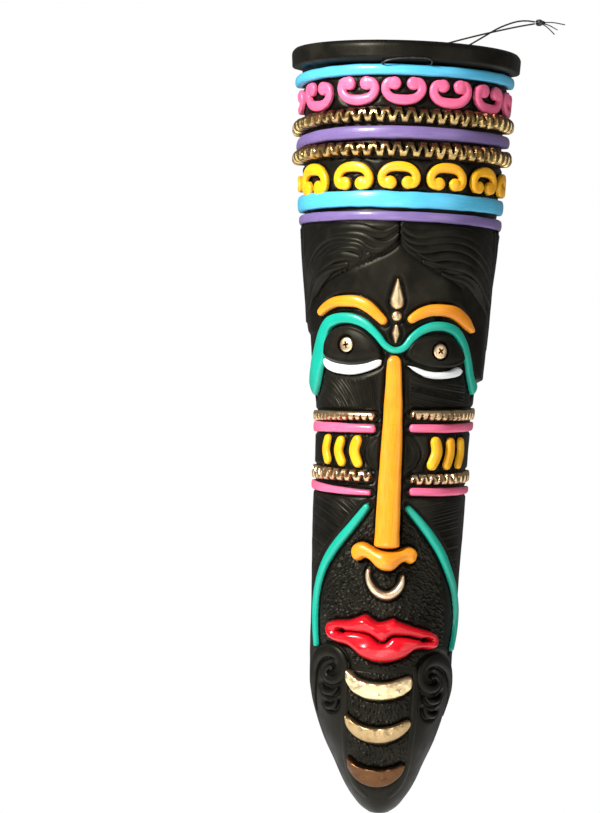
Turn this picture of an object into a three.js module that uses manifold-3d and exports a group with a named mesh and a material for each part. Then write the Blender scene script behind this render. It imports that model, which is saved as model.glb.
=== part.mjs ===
// Terracotta wall mask: half of a tapering clay tube with a modelled and painted face, open at the
// top and the back, closed at the chin, with two screw heads for pupils and a nylon hanging line.
// Millimetres. +X is the viewer's right, +Z up, and the face looks along -Y.
// Heights are measured up from the chin's tip. The group is then lowered so that the origin lies
// on the chin's flat back, where it meets the wall.
import * as THREE from 'three';
import { mergeVertices } from 'three/addons/utils/BufferGeometryUtils.js';
import Module from 'manifold-3d';

const wasm = await Module();
wasm.setup();

// The tube
const height = 454.5;
const wall = 9;
const originHeight = 12;
const edgeAngle = THREE.MathUtils.degToRad(88);
const tubeColumns = 12;
// Height, half width and depth of the tube's outside
const tubeProfile = [
  [0, 6, 10], [3, 10.5, 14.5], [8, 15, 19.5], [16, 20.5, 25], [30, 27.5, 31.5], [45, 35, 37],
  [59, 40, 41], [73, 43.5, 43.5], [88, 44.5, 45.5], [133, 45, 48], [180, 46.5, 49.5], [246, 48.5, 52],
  [300, 52.5, 56], [350, 58, 60], [378, 59.5, 61], [412, 60.5, 62], [440, 62, 63], [455, 63, 64],
];
const cavityFloor = 26;
const cavityRows = 7;
const cavityColumns = 8;
// The wall is thicker at the hollow's floor, and thins out over this height
const chinWall = 14;
const chinReach = 24;
// How far every added piece of clay sinks into the tube
const pressIn = 3;

// The bands above the hair: middle height, half width, rise
const bandRadius = 61;
const rim = { z: 448.5, halfWidth: 6, rise: 6, topRise: 4.2 };
const plainBands = {
  top_blue: { z: 438.6, halfWidth: 3.1, rise: 2.4 },
  purple: { z: 402.4, halfWidth: 3.8, rise: 3 },
  lower_blue: { z: 363.5, halfWidth: 4.5, rise: 2.4 },
  lower_purple: { z: 353.7, halfWidth: 2.8, rise: 2.4 },
};
const ropeBands = { upper: 412.2, lower: 392.5 };
const rope = { halfWidth: 3.4, rise: 4.6, halfTeeth: 50, wave: 1.2 };
const scrollRows = { pink: { z: 427, turn: -1 }, yellow: { z: 377.7, turn: 1 } };
const scroll = { pitch: 26.8, halfWidth: 2.7, rise: 2.8, reach: 9.6, climb: 6 };
const scrollsEachSide = 3;

// The hair: a mass down to the hairline, wavy locks on it, and a straight lock past each temple.
// Places on the face are distance from the midline as seen from the front, and height.
const hairRise = 2.6;
const hairTop = 351;
const hairReach = 57;
const hairline = [
  [0, 345], [3, 339], [10, 333], [18, 328], [31, 323], [43, 322], [50, 312], [54, 290], [60, 262],
];
const locks = { halfWidth: 3.6, rise: 4.2 };
const lockPaths = [
  [[-2, 345], [-6, 337.5], [-14, 335], [-21, 338.5], [-30, 342], [-43, 341.5], [-55, 336]],
  [[-17, 330], [-27, 334], [-38, 333], [-49, 326], [-54, 318]],
  [[2, 345], [5, 339.5], [11, 337], [20, 338.5], [32, 339.5], [44, 341], [55, 337]],
  [[10, 331], [17, 329], [28, 330.5], [42, 329], [52, 323]],
];
const templeRadius = 50;
const templeLock = { halfWidth: 7, rise: 5.6 };
const templeLockEnds = { left: 266, right: 258 };

// The forehead
const brow = { halfWidth: 3.1, rise: 3.6 };
const browPaths = [
  [
    [-6.8, 291.6], [-11, 297], [-18, 301.7], [-25.4, 303.5], [-32.6, 303.6], [-42.3, 300.8],
    [-48.5, 294.5],
  ],
  [[7.4, 292.6], [13.5, 297.1], [20.7, 298.9], [27.9, 299.7], [35, 299], [42, 295.5], [48, 289]],
];
const eyeLine = { halfWidth: 2.3, rise: 2.8 };
const eyeLinePath = [
  [-48, 256], [-46, 270], [-44.5, 281], [-40.5, 289], [-34, 293.5], [-26, 293.5], [-18, 290.2],
  [-11, 283.8], [-5, 277.7], [0, 276.2], [5, 277.4], [10, 281.8], [16, 286.2], [24, 289],
  [33, 288.8], [39.5, 286], [43.5, 279], [45.5, 269], [48, 256],
];
// Drop, dot and spindle over the nose's root; the belly is where along its height each is widest
const tilakRise = 2.6;
const tilak = [
  { bottom: 300.7, top: 317.9, halfWidth: 3.6, belly: 0.3 },
  { bottom: 293.6, top: 298.8, halfWidth: 2.6, belly: 0.5 },
  { bottom: 280.2, top: 290.5, halfWidth: 2.35, belly: 0.5 },
];

// The eyes
const lid = { inner: 7.5, outer: 42.5, z: 274.5, above: 15, below: 8, rise: 4.2 };
const eyeWhite = { halfWidth: 2.9, rise: 3 };
const eyeWhitePath = [[9, 267.6], [17, 264.6], [28.5, 262.8], [37, 264.6], [43.5, 268.6]];
const pupil = {
  socketRadius: 5.8, socketDepth: 3.2, headRadius: 4.1, headHeight: 2.2, shankRadius: 2, shankLength: 4.4,
};
const pupilPlaces = { left: [-28.5, 278], right: [26, 276] };
const touchGap = 0.3;

// The nose
const noseRoot = { z: 274, halfWidth: 3.6, rise: 4.5 };
const noseFoot = { z: 158, halfWidth: 6.8, rise: 11 };
const noseBall = { z: 154.5, radii: [8.6, 9, 7.2], lift: 6.5 };
const nostril = { x: 12.2, z: 157, radii: [6.6, 7, 5.7], lift: 3.5 };
const noseRing = { z: 141.5, radius: 9.7, halfWidth: 2.5, rise: 4.6 };

// The cheeks: bands from the nose's flank to the mask's edge, beans between them, and a long line
const cheekInnerAngle = 0.1;
const cheekBands = [
  { z: 237.6, halfWidth: 3, rise: 3.8, cheek: true },
  { z: 230.2, halfWidth: 2.6, rise: 3, cheek: true },
  { z: 202, halfWidth: 3.4, rise: 3.8, cheek: true },
  { z: 193.6, halfWidth: 2.6, rise: 3, cheek: true },
];
const beans = { places: [23.5, 32.4, 39.6], z: 215.8, halfHeight: 8, halfWidth: 2.8, bow: 2.6, rise: 2.8 };
const cheekLine = { halfWidth: 2.05, rise: 2.6 };
const cheekLinePath = [
  [11.4, 182.8], [18.5, 173.3], [25.4, 165], [31.3, 157.8], [36.5, 148.9], [39.9, 140.2], [41.9, 131],
  [42.4, 122], [42.1, 112], [40.6, 98],
];

// The mouth and the chin
const lip = { halfWidth: 31.3, cornerZ: 108, peakZ: 118.8, dip: 2.6, bottomZ: 92.5, rise: 8.5 };
const slit = { z: 109, middleZ: 104, halfWidth: 12, drop: 1.5, gap: 1 };
const crescents = [
  { halfWidth: 18.5, tipZ: 87, topZ: 81.7, bottomZ: 71.4 },
  { halfWidth: 18, tipZ: 61, topZ: 55.6, bottomZ: 45.8 },
  { halfWidth: 16, tipZ: 35.6, topZ: 31.1, bottomZ: 19.6 },
];
const crescentRise = 4.2;
const jawScroll = { x: 34, z: 85, radius: 8, start: 235, turn: 44, shrink: 0.068, halfWidth: 2.9, rise: 3 };

// The hanging line
const lineHole = { x: 13.4, z: 441.2, radius: 1.9 };
const lineRadius = 0.5;
const lineSides = 8;
const frontStretch = [
  [-10.7, -49, 441.3], [-12.4, -57, 441.2], [-13.9, -64, 440.9], [-13.7, -67.9, 441.3],
  [-9.5, -69.4, 442.7], [-2.5, -70.2, 443.9], [6, -70, 444.3], [12.4, -69.2, 444.1],
  [14.9, -67.8, 442.9], [14.2, -64, 441], [12.4, -57, 441.2], [10.7, -49, 441.3],
];
const leftStrand = [
  [-10.6, -48.5, 441.4], [-7, -39, 444], [4, -29, 451], [22, -23, 458.3],
  [38, -17.5, 463.8], [52, -12.5, 468.2], [66, -8, 472.2], [75.9, -5.2, 474.6],
];
const rightStrand = [
  [10.6, -48.5, 441.4], [17, -39, 446], [32, -29, 454.8], [44, -21, 463],
  [54, -14.5, 470], [64, -9.5, 474.7], [70.5, -6.6, 476], [75.9, -4.9, 475.8],
];
const lineSteps = { front: 14, left: 16, right: 15 };
const knot = { place: [79, -4.6, 475.4], length: 5.4, radius: 1.6 };
const tail = { radius: 0.35, sides: 6, steps: 3, bow: 0.8 };
const tailEnds = [[94, -5, 474.6], [89.5, -6.5, 471.2], [88, -4.6, 468.6]];

const colours = { clay: 0x26221d, brass: 0xc9a24a, line: 0x141414 };

// A closed geometry with its shared vertices merged
function merged(geometry) {
  geometry.deleteAttribute('normal');
  geometry.deleteAttribute('uv');
  return mergeVertices(geometry);
}

function solidOf(geometry) {
  const { attributes, index } = merged(geometry);
  return new wasm.Manifold(new wasm.Mesh({
    numProp: 3,
    vertProperties: new Float32Array(attributes.position.array),
    triVerts: new Uint32Array(index.array),
  }));
}

function geometryOf(solid) {
  const mesh = solid.getMesh();
  const geometry = new THREE.BufferGeometry();
  geometry.setAttribute('position', new THREE.BufferAttribute(mesh.vertProperties, 3));
  geometry.setIndex(new THREE.BufferAttribute(mesh.triVerts, 1));
  return geometry;
}

// A box of cells whose corners are moved by place(u, v, w), each from 0 to 1
function bentBox(columns, rows, place) {
  const bent = merged(new THREE.BoxGeometry(1, 1, 1, columns, rows, 1));
  const position = bent.attributes.position;
  for (let i = 0; i < position.count; i += 1) {
    const spot = place(position.getX(i) + 0.5, position.getY(i) + 0.5, position.getZ(i) + 0.5);
    position.setXYZ(i, spot.x, spot.y, spot.z);
  }
  return solidOf(bent);
}

const profileSpline = new THREE.CubicInterpolant(
  tubeProfile.map((row) => row[0]), tubeProfile.flatMap((row) => [row[1], row[2]]), 2);

function section(z) {
  const [halfWidth, depth] = profileSpline.evaluate(THREE.MathUtils.clamp(z, 0, height));
  return { halfWidth, depth };
}

// A point above the tube's outside, at an angle round from the midline
function onTube(angle, z, lift) {
  const { halfWidth, depth } = section(z);
  return new THREE.Vector3((halfWidth + lift) * Math.sin(angle), -(depth + lift) * Math.cos(angle), z);
}

// The same, at a distance from the midline as the face is seen from the front
function onFace(x, z, lift) {
  const side = THREE.MathUtils.clamp(x / section(z).halfWidth, -0.999, 0.999);
  return onTube(Math.asin(side), z, lift);
}

// The same, at a distance from the midline measured round the tube
const onArc = (radius) => (arc, z, lift) => onTube(arc / radius, z, lift);

const points = (pairs) => new THREE.SplineCurve(pairs.map(([x, z]) => new THREE.Vector2(x, z)));
const mirrored = (pairs, side) => pairs.map(([x, z]) => [side * x, z]);
const sides = [-1, 1];
const valueAt = (value, t) => (typeof value === 'function' ? value(t) : value);

// Width of a strip whose ends are round: full in the middle, narrow over the last 'reach' of it
function rounded(width, reach) {
  return (t) => {
    const inset = 1 - Math.min(1, Math.min(t, 1 - t) / reach);
    return width * Math.max(0.4, Math.sqrt(1 - inset * inset));
  };
}

// A strip of clay pressed on along a curve. Its section is either a ridge or flat between two flanks
const stripFoot = 0.6;
const stripSections = {
  ridge: [[-1.12, -stripFoot], [0, 1], [1.12, -stripFoot]],
  flat: [[-1.08, -stripFoot], [-0.6, 1], [0.6, 1], [1.08, -stripFoot]],
};

function strip({ curve, halfWidth, rise, steps, place = onFace, shift = 0, shape = 'ridge' }) {
  const rows = stripSections[shape];
  return bentBox(steps, rows.length - 1, (t, v, w) => {
    const here = curve.getPointAt(t);
    const along = curve.getTangentAt(t);
    const [side, level] = rows[Math.round(v * (rows.length - 1))];
    const offset = side * valueAt(halfWidth, t) + valueAt(shift, t);
    const lift = level > 0 ? valueAt(rise, t) : level;
    return place(here.x - along.y * offset, here.y + along.x * offset, w > 0.5 ? lift : -pressIn);
  });
}

// A domed patch between a lower and an upper edge, both functions of the distance from the midline
function patch({ from, to, lower, upper, rise, columns, rows = 2, place = onFace, flat = 0.5 }) {
  return bentBox(columns, rows, (u, v, w) => {
    const x = THREE.MathUtils.lerp(from, to, u);
    const z = THREE.MathUtils.lerp(lower(x), upper(x), v);
    const crown = flat + (1 - flat) * Math.sin(Math.PI * u) * Math.sqrt(1 - (2 * v - 1) ** 2);
    return place(x, z, w > 0.5 ? rise * crown : -pressIn);
  });
}

// Rows of the tube's front, as height and lift: plain clay, with the painted bands raised on it.
// The cheek bands stop short of the nose.
function tubeLadder() {
  const bands = [...Object.values(plainBands), rim, ...cheekBands];
  const plain = tubeProfile.map(([z]) => ({ z, lift: 0 }));
  const isClear = (row) => bands.every(({ z, halfWidth }) => Math.abs(row.z - z) > halfWidth + 2);
  const rows = plain.filter(isClear);
  for (const { z, halfWidth, rise, cheek, topRise = 0 } of bands) {
    const shoulders = [-0.6, 0.6].map((side) => ({ z: z + side * halfWidth, lift: rise, cheek }));
    rows.push({ z: z - halfWidth, lift: 0 }, ...shoulders, { z: z + halfWidth, lift: topRise });
  }
  return rows.sort((one, other) => one.z - other.z);
}

// The tube is solid at first: its front is round, and its back runs past the wall plane, where it is cut
function tubeSolid() {
  const ladder = tubeLadder();
  return bentBox(tubeColumns, ladder.length - 1, (u, v, w) => {
    const row = ladder[Math.round(v * (ladder.length - 1))];
    const angle = edgeAngle * (2 * u - 1);
    const bare = row.cheek && Math.abs(angle) < cheekInnerAngle;
    const spot = onTube(angle, row.z, bare ? 0 : row.lift);
    return w > 0.5 ? spot : spot.setY(wall);
  });
}

// The hollow runs out through the back and the top, and closes above the chin
function cavitySolid() {
  return bentBox(cavityColumns, cavityRows, (u, v, w) => {
    const z = THREE.MathUtils.lerp(cavityFloor, height + wall, v ** 1.3);
    const risen = THREE.MathUtils.smoothstep(z, cavityFloor, cavityFloor + chinReach);
    const thickness = THREE.MathUtils.lerp(chinWall, wall, risen);
    const spot = onTube(edgeAngle * (2 * u - 1), z, -thickness);
    return w > 0.5 ? spot : spot.setY(wall);
  });
}

function bandLine(z) {
  const end = edgeAngle * bandRadius;
  return new THREE.LineCurve(new THREE.Vector2(-end, z), new THREE.Vector2(end, z));
}

function* ropeSolids() {
  const wave = (t) => rope.wave * Math.cos(Math.PI * rope.halfTeeth * t);
  for (const z of Object.values(ropeBands)) {
    const curve = bandLine(z);
    yield strip({ curve, ...rope, steps: rope.halfTeeth, place: onArc(bandRadius), shift: wave });
  }
}

// One scroll: an arch whose two ends curl inward to round bulbs
function scrollCurve(centre, z, turn) {
  const half = [[0, 1], [0.7, 0.83], [1, 0.05], [0.84, -0.74], [0.45, -0.9], [0.33, -0.4]];
  const arch = [...mirrored(half.slice(1), -1).reverse(), ...half];
  return points(arch.map(([x, y]) => [centre + x * scroll.reach, z + turn * y * scroll.climb]));
}

function* scrollSolids() {
  const place = onArc(bandRadius);
  const halfWidth = rounded(scroll.halfWidth, 0.06);
  for (const row of Object.values(scrollRows)) {
    for (let i = -scrollsEachSide; i <= scrollsEachSide; i += 1) {
      const curve = scrollCurve(i * scroll.pitch, row.z, row.turn);
      yield strip({ curve, halfWidth, rise: scroll.rise, steps: 7, place });
    }
  }
}

// Height of a curve over a distance from the midline, found by halving
function heightOver(curve, distance) {
  let low = 0;
  let high = 1;
  for (let i = 0; i < 24; i += 1) {
    const middle = (low + high) / 2;
    if (curve.getPoint(middle).x < distance) low = middle;
    else high = middle;
  }
  return curve.getPoint(low).y;
}

function* hairSolids() {
  const edge = points(hairline);
  yield patch({
    from: -hairReach, to: hairReach, lower: (x) => heightOver(edge, Math.abs(x)), upper: () => hairTop,
    rise: hairRise, columns: 14, rows: 1, flat: 0.9,
    place: (x, z, lift) => onTube((x / hairReach) * edgeAngle, z, lift),
  });
  const halfWidth = rounded(locks.halfWidth, 0.25);
  for (const path of lockPaths) {
    yield strip({ curve: points(path), halfWidth, rise: locks.rise, steps: 4 });
  }
  for (const [name, end] of Object.entries(templeLockEnds)) {
    const path = [[57, 345], [60, 325], [66, 300], [68, 280], [67, end]];
    const curve = points(mirrored(path, name === 'left' ? -1 : 1));
    yield strip({ curve, ...templeLock, steps: 4, place: onArc(templeRadius) });
  }
}

function* foreheadSolids() {
  for (const path of browPaths) {
    const taper = (t) => brow.halfWidth * Math.min(1, 0.55 + t * 8) * Math.min(1, 0.2 + (1 - t) * 2.4);
    yield strip({ curve: points(path), halfWidth: taper, rise: brow.rise, steps: 7, shape: 'flat' });
  }
  yield strip({ curve: points(eyeLinePath), ...eyeLine, steps: 18 });
  for (const { bottom, top, halfWidth, belly } of tilak) {
    const skew = Math.log(0.5) / Math.log(belly);
    const width = (t) => halfWidth * Math.max(0.15, Math.sin(Math.PI * t ** skew));
    yield strip({ curve: points([[0, bottom], [0, top]]), halfWidth: width, rise: tilakRise, steps: 4 });
  }
}

// Eyelids: almonds that bulge out, each with a white crescent under it
function* eyeSolids() {
  const along = (x) => (Math.abs(x) - lid.inner) / (lid.outer - lid.inner);
  const upper = (x) => lid.z + lid.above * Math.sin(Math.PI * along(x) ** 1.25) ** 0.8;
  const lower = (x) => lid.z - lid.below * Math.sin(Math.PI * along(x)) ** 0.8;
  const inset = 0.1;
  for (const side of sides) {
    const ends = [side * (lid.inner + inset), side * (lid.outer - inset)];
    const [from, to] = ends.sort((one, other) => one - other);
    yield patch({ from, to, lower, upper, rise: lid.rise, columns: 7, rows: 3, flat: 0.25 });
    const curve = points(mirrored(eyeWhitePath, side));
    yield strip({ curve, halfWidth: rounded(eyeWhite.halfWidth, 0.12), rise: eyeWhite.rise, steps: 6 });
  }
}

// A flattened ball pressed onto the face
function ball({ x, z, radii, lift }) {
  const sphere = new THREE.SphereGeometry(1, 8, 6);
  sphere.scale(...radii);
  const place = onFace(x, z, lift);
  sphere.translate(place.x, place.y, place.z);
  return solidOf(sphere);
}

function* noseSolids() {
  const curve = new THREE.LineCurve(new THREE.Vector2(0, noseFoot.z), new THREE.Vector2(0, noseRoot.z));
  const halfWidth = (t) => THREE.MathUtils.lerp(noseFoot.halfWidth, noseRoot.halfWidth, t);
  const rise = (t) => THREE.MathUtils.lerp(noseFoot.rise, noseRoot.rise, t);
  yield strip({ curve, halfWidth, rise, steps: 4, shape: 'flat' });
  yield ball({ ...noseBall, x: 0 });
  for (const side of sides) yield ball({ ...nostril, x: side * nostril.x });
  const ring = new THREE.EllipseCurve(0, noseRing.z, noseRing.radius, noseRing.radius,
    THREE.MathUtils.degToRad(152), THREE.MathUtils.degToRad(388));
  const waist = (t) => noseRing.halfWidth * (0.35 + 0.65 * Math.sin(Math.PI * t));
  yield strip({ curve: ring, halfWidth: waist, rise: noseRing.rise, steps: 10 });
}

function* cheekSolids() {
  const { z, halfHeight, bow, rise } = beans;
  for (const side of sides) {
    for (const x of beans.places) {
      const bowed = [[x - bow / 2, z - halfHeight], [x + bow / 2, z], [x - bow / 2, z + halfHeight]];
      const curve = points(mirrored(bowed, side));
      yield strip({ curve, halfWidth: rounded(beans.halfWidth, 0.2), rise, steps: 4 });
    }
    yield strip({ curve: points(mirrored(cheekLinePath, side)), ...cheekLine, steps: 9 });
  }
}

// Lips: a bow above and a bowl below, parted by the slit of the mouth
function* lipSolids() {
  const outward = (x) => Math.min(1, Math.abs(x) / lip.halfWidth);
  const middleWeight = (x) => Math.max(0, 1 - Math.abs(x) / slit.halfWidth);
  const mouth = (x) => slit.z + (slit.middleZ - slit.z) * middleWeight(x) - slit.drop * outward(x) ** 2;
  const bow = (x) => lip.peakZ - lip.dip * Math.exp(-((x / 4) ** 2));
  const fall = (x) => THREE.MathUtils.smoothstep(outward(x), 0.3, 1);
  const top = (x) => THREE.MathUtils.lerp(bow(x), lip.cornerZ, fall(x));
  const bottom = (x) => lip.bottomZ + (lip.cornerZ - slit.drop - lip.bottomZ) * outward(x) ** 2.2;
  const half = slit.gap / 2;
  const shared = { from: -lip.halfWidth, to: lip.halfWidth, rise: lip.rise, columns: 12, flat: 0.3 };
  const upperLip = { lower: (x) => mouth(x) + half, upper: (x) => Math.max(top(x), mouth(x) + 2 * half) };
  const lowerLip = { lower: bottom, upper: (x) => Math.max(mouth(x) - half, bottom(x) + half) };
  yield patch({ ...shared, ...upperLip });
  yield patch({ ...shared, ...lowerLip });
}

function* chinSolids() {
  for (const { halfWidth, tipZ, topZ, bottomZ } of crescents) {
    const bowl = (x, low) => low + (tipZ - low) * (Math.abs(x) / halfWidth) ** 2.4;
    yield patch({
      from: -halfWidth, to: halfWidth, lower: (x) => bowl(x, bottomZ), upper: (x) => bowl(x, topZ) + 1,
      rise: crescentRise, columns: 8, flat: 0.75,
    });
  }
  for (const side of sides) {
    const turns = [];
    for (let i = 0; i <= 10; i += 1) {
      const angle = THREE.MathUtils.degToRad(jawScroll.start - i * jawScroll.turn);
      const radius = jawScroll.radius * (1 - jawScroll.shrink * i);
      turns.push([jawScroll.x - radius * Math.cos(angle), jawScroll.z + radius * Math.sin(angle)]);
    }
    const curve = points(mirrored(turns, side));
    yield strip({ curve, halfWidth: jawScroll.halfWidth, rise: jawScroll.rise, steps: 9 });
  }
}

// A cylinder that points out of the face at a spot on it, from one depth to another
function plug(spot, radius, inner, outer, sides) {
  const outward = new THREE.Vector3(spot.x, spot.y, 0).normalize();
  const turn = new THREE.Quaternion().setFromUnitVectors(new THREE.Vector3(0, 1, 0), outward);
  const cylinder = new THREE.CylinderGeometry(radius, radius, outer - inner, sides);
  cylinder.translate(0, (outer + inner) / 2, 0);
  cylinder.applyQuaternion(turn);
  cylinder.translate(spot.x, spot.y, spot.z);
  return cylinder;
}

const pupilSpot = ([x, z]) => onFace(x, z, lid.rise * 0.9);

// The socket of a pupil, with a hole for the screw's shank at its bottom
function* pupilCuts(place) {
  const spot = pupilSpot(place);
  const holeEnd = -pupil.socketDepth - pupil.shankLength - touchGap;
  yield plug(spot, pupil.socketRadius, -pupil.socketDepth, wall, 14);
  yield plug(spot, pupil.shankRadius + touchGap, holeEnd, 0, 8);
}

function maskShell() {
  const makers = [ropeSolids, scrollSolids, hairSolids, foreheadSolids, eyeSolids, noseSolids, cheekSolids,
    lipSolids, chinSolids];
  const cuts = Object.values(pupilPlaces).flatMap((place) => [...pupilCuts(place)]);
  for (const side of sides) {
    const spot = onFace(side * lineHole.x, lineHole.z, 0);
    cuts.push(plug(spot, lineHole.radius, -2 * wall, 2 * wall, 8));
  }
  const behindWall = new THREE.BoxGeometry(2 * height, 2 * wall, 3 * height);
  behindWall.translate(0, wall, 0);
  cuts.push(behindWall);
  let clay = tubeSolid();
  for (const maker of makers) {
    for (const piece of maker()) clay = clay.add(piece);
  }
  clay = clay.subtract(cavitySolid());
  for (const cut of cuts) clay = clay.subtract(solidOf(cut));
  return clay;
}

// Screw: a low head, and a short shank that sits in the clay
function screwSolid(place) {
  const spot = pupilSpot(place);
  const seat = -pupil.socketDepth + touchGap;
  const head = plug(spot, pupil.headRadius, seat, seat + pupil.headHeight, 14);
  const shank = plug(spot, pupil.shankRadius, -pupil.socketDepth - pupil.shankLength, seat + touchGap, 8);
  return solidOf(head).add(solidOf(shank));
}

function tubeAlong(route, radius, steps, facets) {
  const circle = new THREE.Shape().absarc(0, 0, radius, 0, 2 * Math.PI);
  const extrudePath = new THREE.CatmullRomCurve3(route.map((place) => new THREE.Vector3(...place)));
  return new THREE.ExtrudeGeometry(circle, { steps, curveSegments: facets / 2, extrudePath });
}

function knotSolid() {
  const body = new THREE.SphereGeometry(1, 8, 6);
  body.scale(knot.length / 2, knot.radius, knot.radius);
  body.translate(...knot.place);
  let solid = solidOf(body);
  for (const end of tailEnds) {
    const [x, y, z] = knot.place;
    const bend = [(x + end[0]) / 2, y, (z + end[2]) / 2 + tail.bow];
    solid = solid.add(solidOf(tubeAlong([knot.place, bend, end], tail.radius, tail.steps, tail.sides)));
  }
  return solid;
}

const materials = {
  clay: new THREE.MeshStandardMaterial({ color: colours.clay, roughness: 0.45, metalness: 0 }),
  brass: new THREE.MeshStandardMaterial({ color: colours.brass, roughness: 0.3, metalness: 1 }),
  line: new THREE.MeshStandardMaterial({ color: colours.line, roughness: 0.4, metalness: 0 }),
};

const mask = new THREE.Group();
mask.position.z = -originHeight;

function addNode(name, geometry, material) {
  const mesh = new THREE.Mesh(geometry, material);
  mesh.name = name;
  mask.add(mesh);
}

addNode('mask_shell', geometryOf(maskShell()), materials.clay);
for (const [side, place] of Object.entries(pupilPlaces)) {
  addNode(`${side}_pupil_screw`, geometryOf(screwSolid(place)), materials.brass);
}
const strands = { front: frontStretch, left: leftStrand, right: rightStrand };
for (const [name, route] of Object.entries(strands)) {
  addNode(`hanging_line_${name}`, tubeAlong(route, lineRadius, lineSteps[name], lineSides), materials.line);
}
addNode('line_knot', geometryOf(knotSolid()), materials.line);

export default mask;
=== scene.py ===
# Terracotta wall mask: painted and gilded clay relief on half of a tapering clay tube.
# Measures below are in millimetres above the chin's tip, metres once they reach a mesh.
from math import asin, cos, exp, pi, radians, sin, sqrt

import bmesh
import bpy
import numpy as np
from mathutils import Matrix, Vector, kdtree, noise


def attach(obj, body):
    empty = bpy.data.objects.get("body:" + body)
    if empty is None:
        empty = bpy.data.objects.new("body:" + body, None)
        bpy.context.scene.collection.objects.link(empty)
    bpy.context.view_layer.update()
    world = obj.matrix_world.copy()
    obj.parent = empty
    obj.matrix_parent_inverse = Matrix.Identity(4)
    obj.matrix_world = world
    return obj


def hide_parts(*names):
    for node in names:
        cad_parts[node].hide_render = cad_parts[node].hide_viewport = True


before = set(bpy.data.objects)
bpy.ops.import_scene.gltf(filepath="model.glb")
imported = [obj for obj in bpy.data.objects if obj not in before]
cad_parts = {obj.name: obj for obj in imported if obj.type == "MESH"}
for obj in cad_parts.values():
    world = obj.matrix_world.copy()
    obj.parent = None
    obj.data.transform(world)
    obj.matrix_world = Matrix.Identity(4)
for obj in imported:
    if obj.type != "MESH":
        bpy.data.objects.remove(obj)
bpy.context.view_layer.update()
mm = 0.001
body = "root"

# The photograph's view: straight at the wall, a little turned and leaning
camera = {"distance": 1.77, "height": 0.2288, "lookAcross": -0.056, "lens": 130.5, "film": 36, "lean": 2.14}


def addObject(name, data):
    thing = bpy.data.objects.new(name, data)
    bpy.context.scene.collection.objects.link(thing)
    return thing


def placeCamera():
    lens = bpy.data.cameras.new("photoCamera")
    lens.lens, lens.sensor_width = camera["lens"], camera["film"]
    seat = addObject("photoCamera", lens)
    seat.location = (0, -camera["distance"], camera["height"])
    aim = Vector((camera["lookAcross"], 0, camera["height"])) - seat.location
    lean = Matrix.Rotation(radians(camera["lean"]), 3, "Z").to_quaternion()
    seat.rotation_euler = (aim.to_track_quat("-Z", "Y") @ lean).to_euler()
    bpy.context.scene.camera = seat


placeCamera()
print("camera placed")

# The clay tube that everything is pressed on
tube = {
    "height": 454.5, "originHeight": 12, "wall": 9, "edgeAngle": radians(88),
    "profile": [  # height, half width, depth
        (0, 6, 10), (3, 10.5, 14.5), (8, 15, 19.5), (16, 20.5, 25), (30, 27.5, 31.5), (45, 35, 37),
        (59, 40, 41), (73, 43.5, 43.5), (88, 44.5, 45.5), (133, 45, 48), (180, 46.5, 49.5),
        (246, 48.5, 52), (300, 52.5, 56), (350, 58, 60), (378, 59.5, 61), (412, 60.5, 62),
        (440, 62, 63), (455, 63, 64)],
    "wallGap": 0.15,
    # Where a flank is flatter than a true half round: height, millimetres
    "leftPull": [(0, 0), (160, 0), (182, 0.5), (212, 1.5), (243, 1.9), (262, 0), (455, 0)],
    "rightPull": [(0, 0), (20, 1), (45, 2.8), (70, 3.8), (95, 3.9), (125, 2.4), (165, 1.6), (215, 1.6),
                  (250, 0.6), (280, 0), (455, 0)],
}
bandRadius = 61
tableStep = 0.5


def sectionRows():
    knots = np.array(tube["profile"], float)
    heights = np.arange(0, tube["height"] + 2 * tableStep, tableStep)
    seat = np.clip(np.searchsorted(knots[:, 0], heights, side="right") - 1, 0, len(knots) - 2)
    step = np.diff(knots[:, 0])
    share = np.clip((heights - knots[seat, 0]) / step[seat], 0, 1)
    rows = []
    for column in (1, 2):
        value = knots[:, column]
        secant = np.diff(value) / step
        slope = np.concatenate([secant[:1], (secant[1:] + secant[:-1]) / 2, secant[-1:]])
        p = share
        rows.append((2 * p**3 - 3 * p**2 + 1) * value[seat] + (p**3 - 2 * p**2 + p) * step[seat] * slope[seat]
                    + (3 * p**2 - 2 * p**3) * value[seat + 1] + (p**3 - p**2) * step[seat] * slope[seat + 1])
    for side in ("leftPull", "rightPull"):
        rows.append(np.interp(heights, *np.array(tube[side], float).T))
    return np.array(rows).T


sectionTable = sectionRows()
sectionList = sectionTable.tolist()


def section(z):  # half width, depth, and the pull on the left and on the right
    at = min(max(z, 0), tube["height"]) / tableStep
    row = int(at)
    share = at - row
    return [a + (b - a) * share for a, b in zip(sectionList[row], sectionList[row + 1])]


def tableAt(z):  # the same for many heights at once
    heights = np.arange(len(sectionTable)) * tableStep
    return [np.interp(z, heights, column) for column in sectionTable.T]


def onTube(angle, z, lift):
    wide, deep, left, right = section(z)
    across = sin(angle)
    pull = (left if across < 0 else -right) * across * across
    return Vector(((wide + lift) * across + pull, -(deep + lift) * cos(angle), z - tube["originHeight"])) * mm


def frontAngle(x, z, lift=0):  # the way round to what the front view shows at x
    wide, _, left, right = section(z)
    pull = left if x < 0 else right
    share = 0
    for _ in range(4):  # a few rounds settle it
        share = min((abs(x) + pull * share * share) / (wide + lift), 0.999)
    return asin(share) * (1 if x > 0 else -1)


def onFace(x, z, lift):  # x is the distance from the midline as the front view shows it
    return onTube(frontAngle(x, z), z, lift)


def onBand(arc, z, lift):  # the distance goes round the crown
    return onTube(arc / bandRadius, z, lift)


def onSkin(arc, z, lift):  # the distance goes round the tube at its own radius there
    return onTube(arc / section(z)[0], z, lift)


def toSkin(route, lift=0):  # front view distances turned into distances round the tube
    return [(section(z)[0] * frontAngle(x, z, lift), z) for x, z in route]


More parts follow.
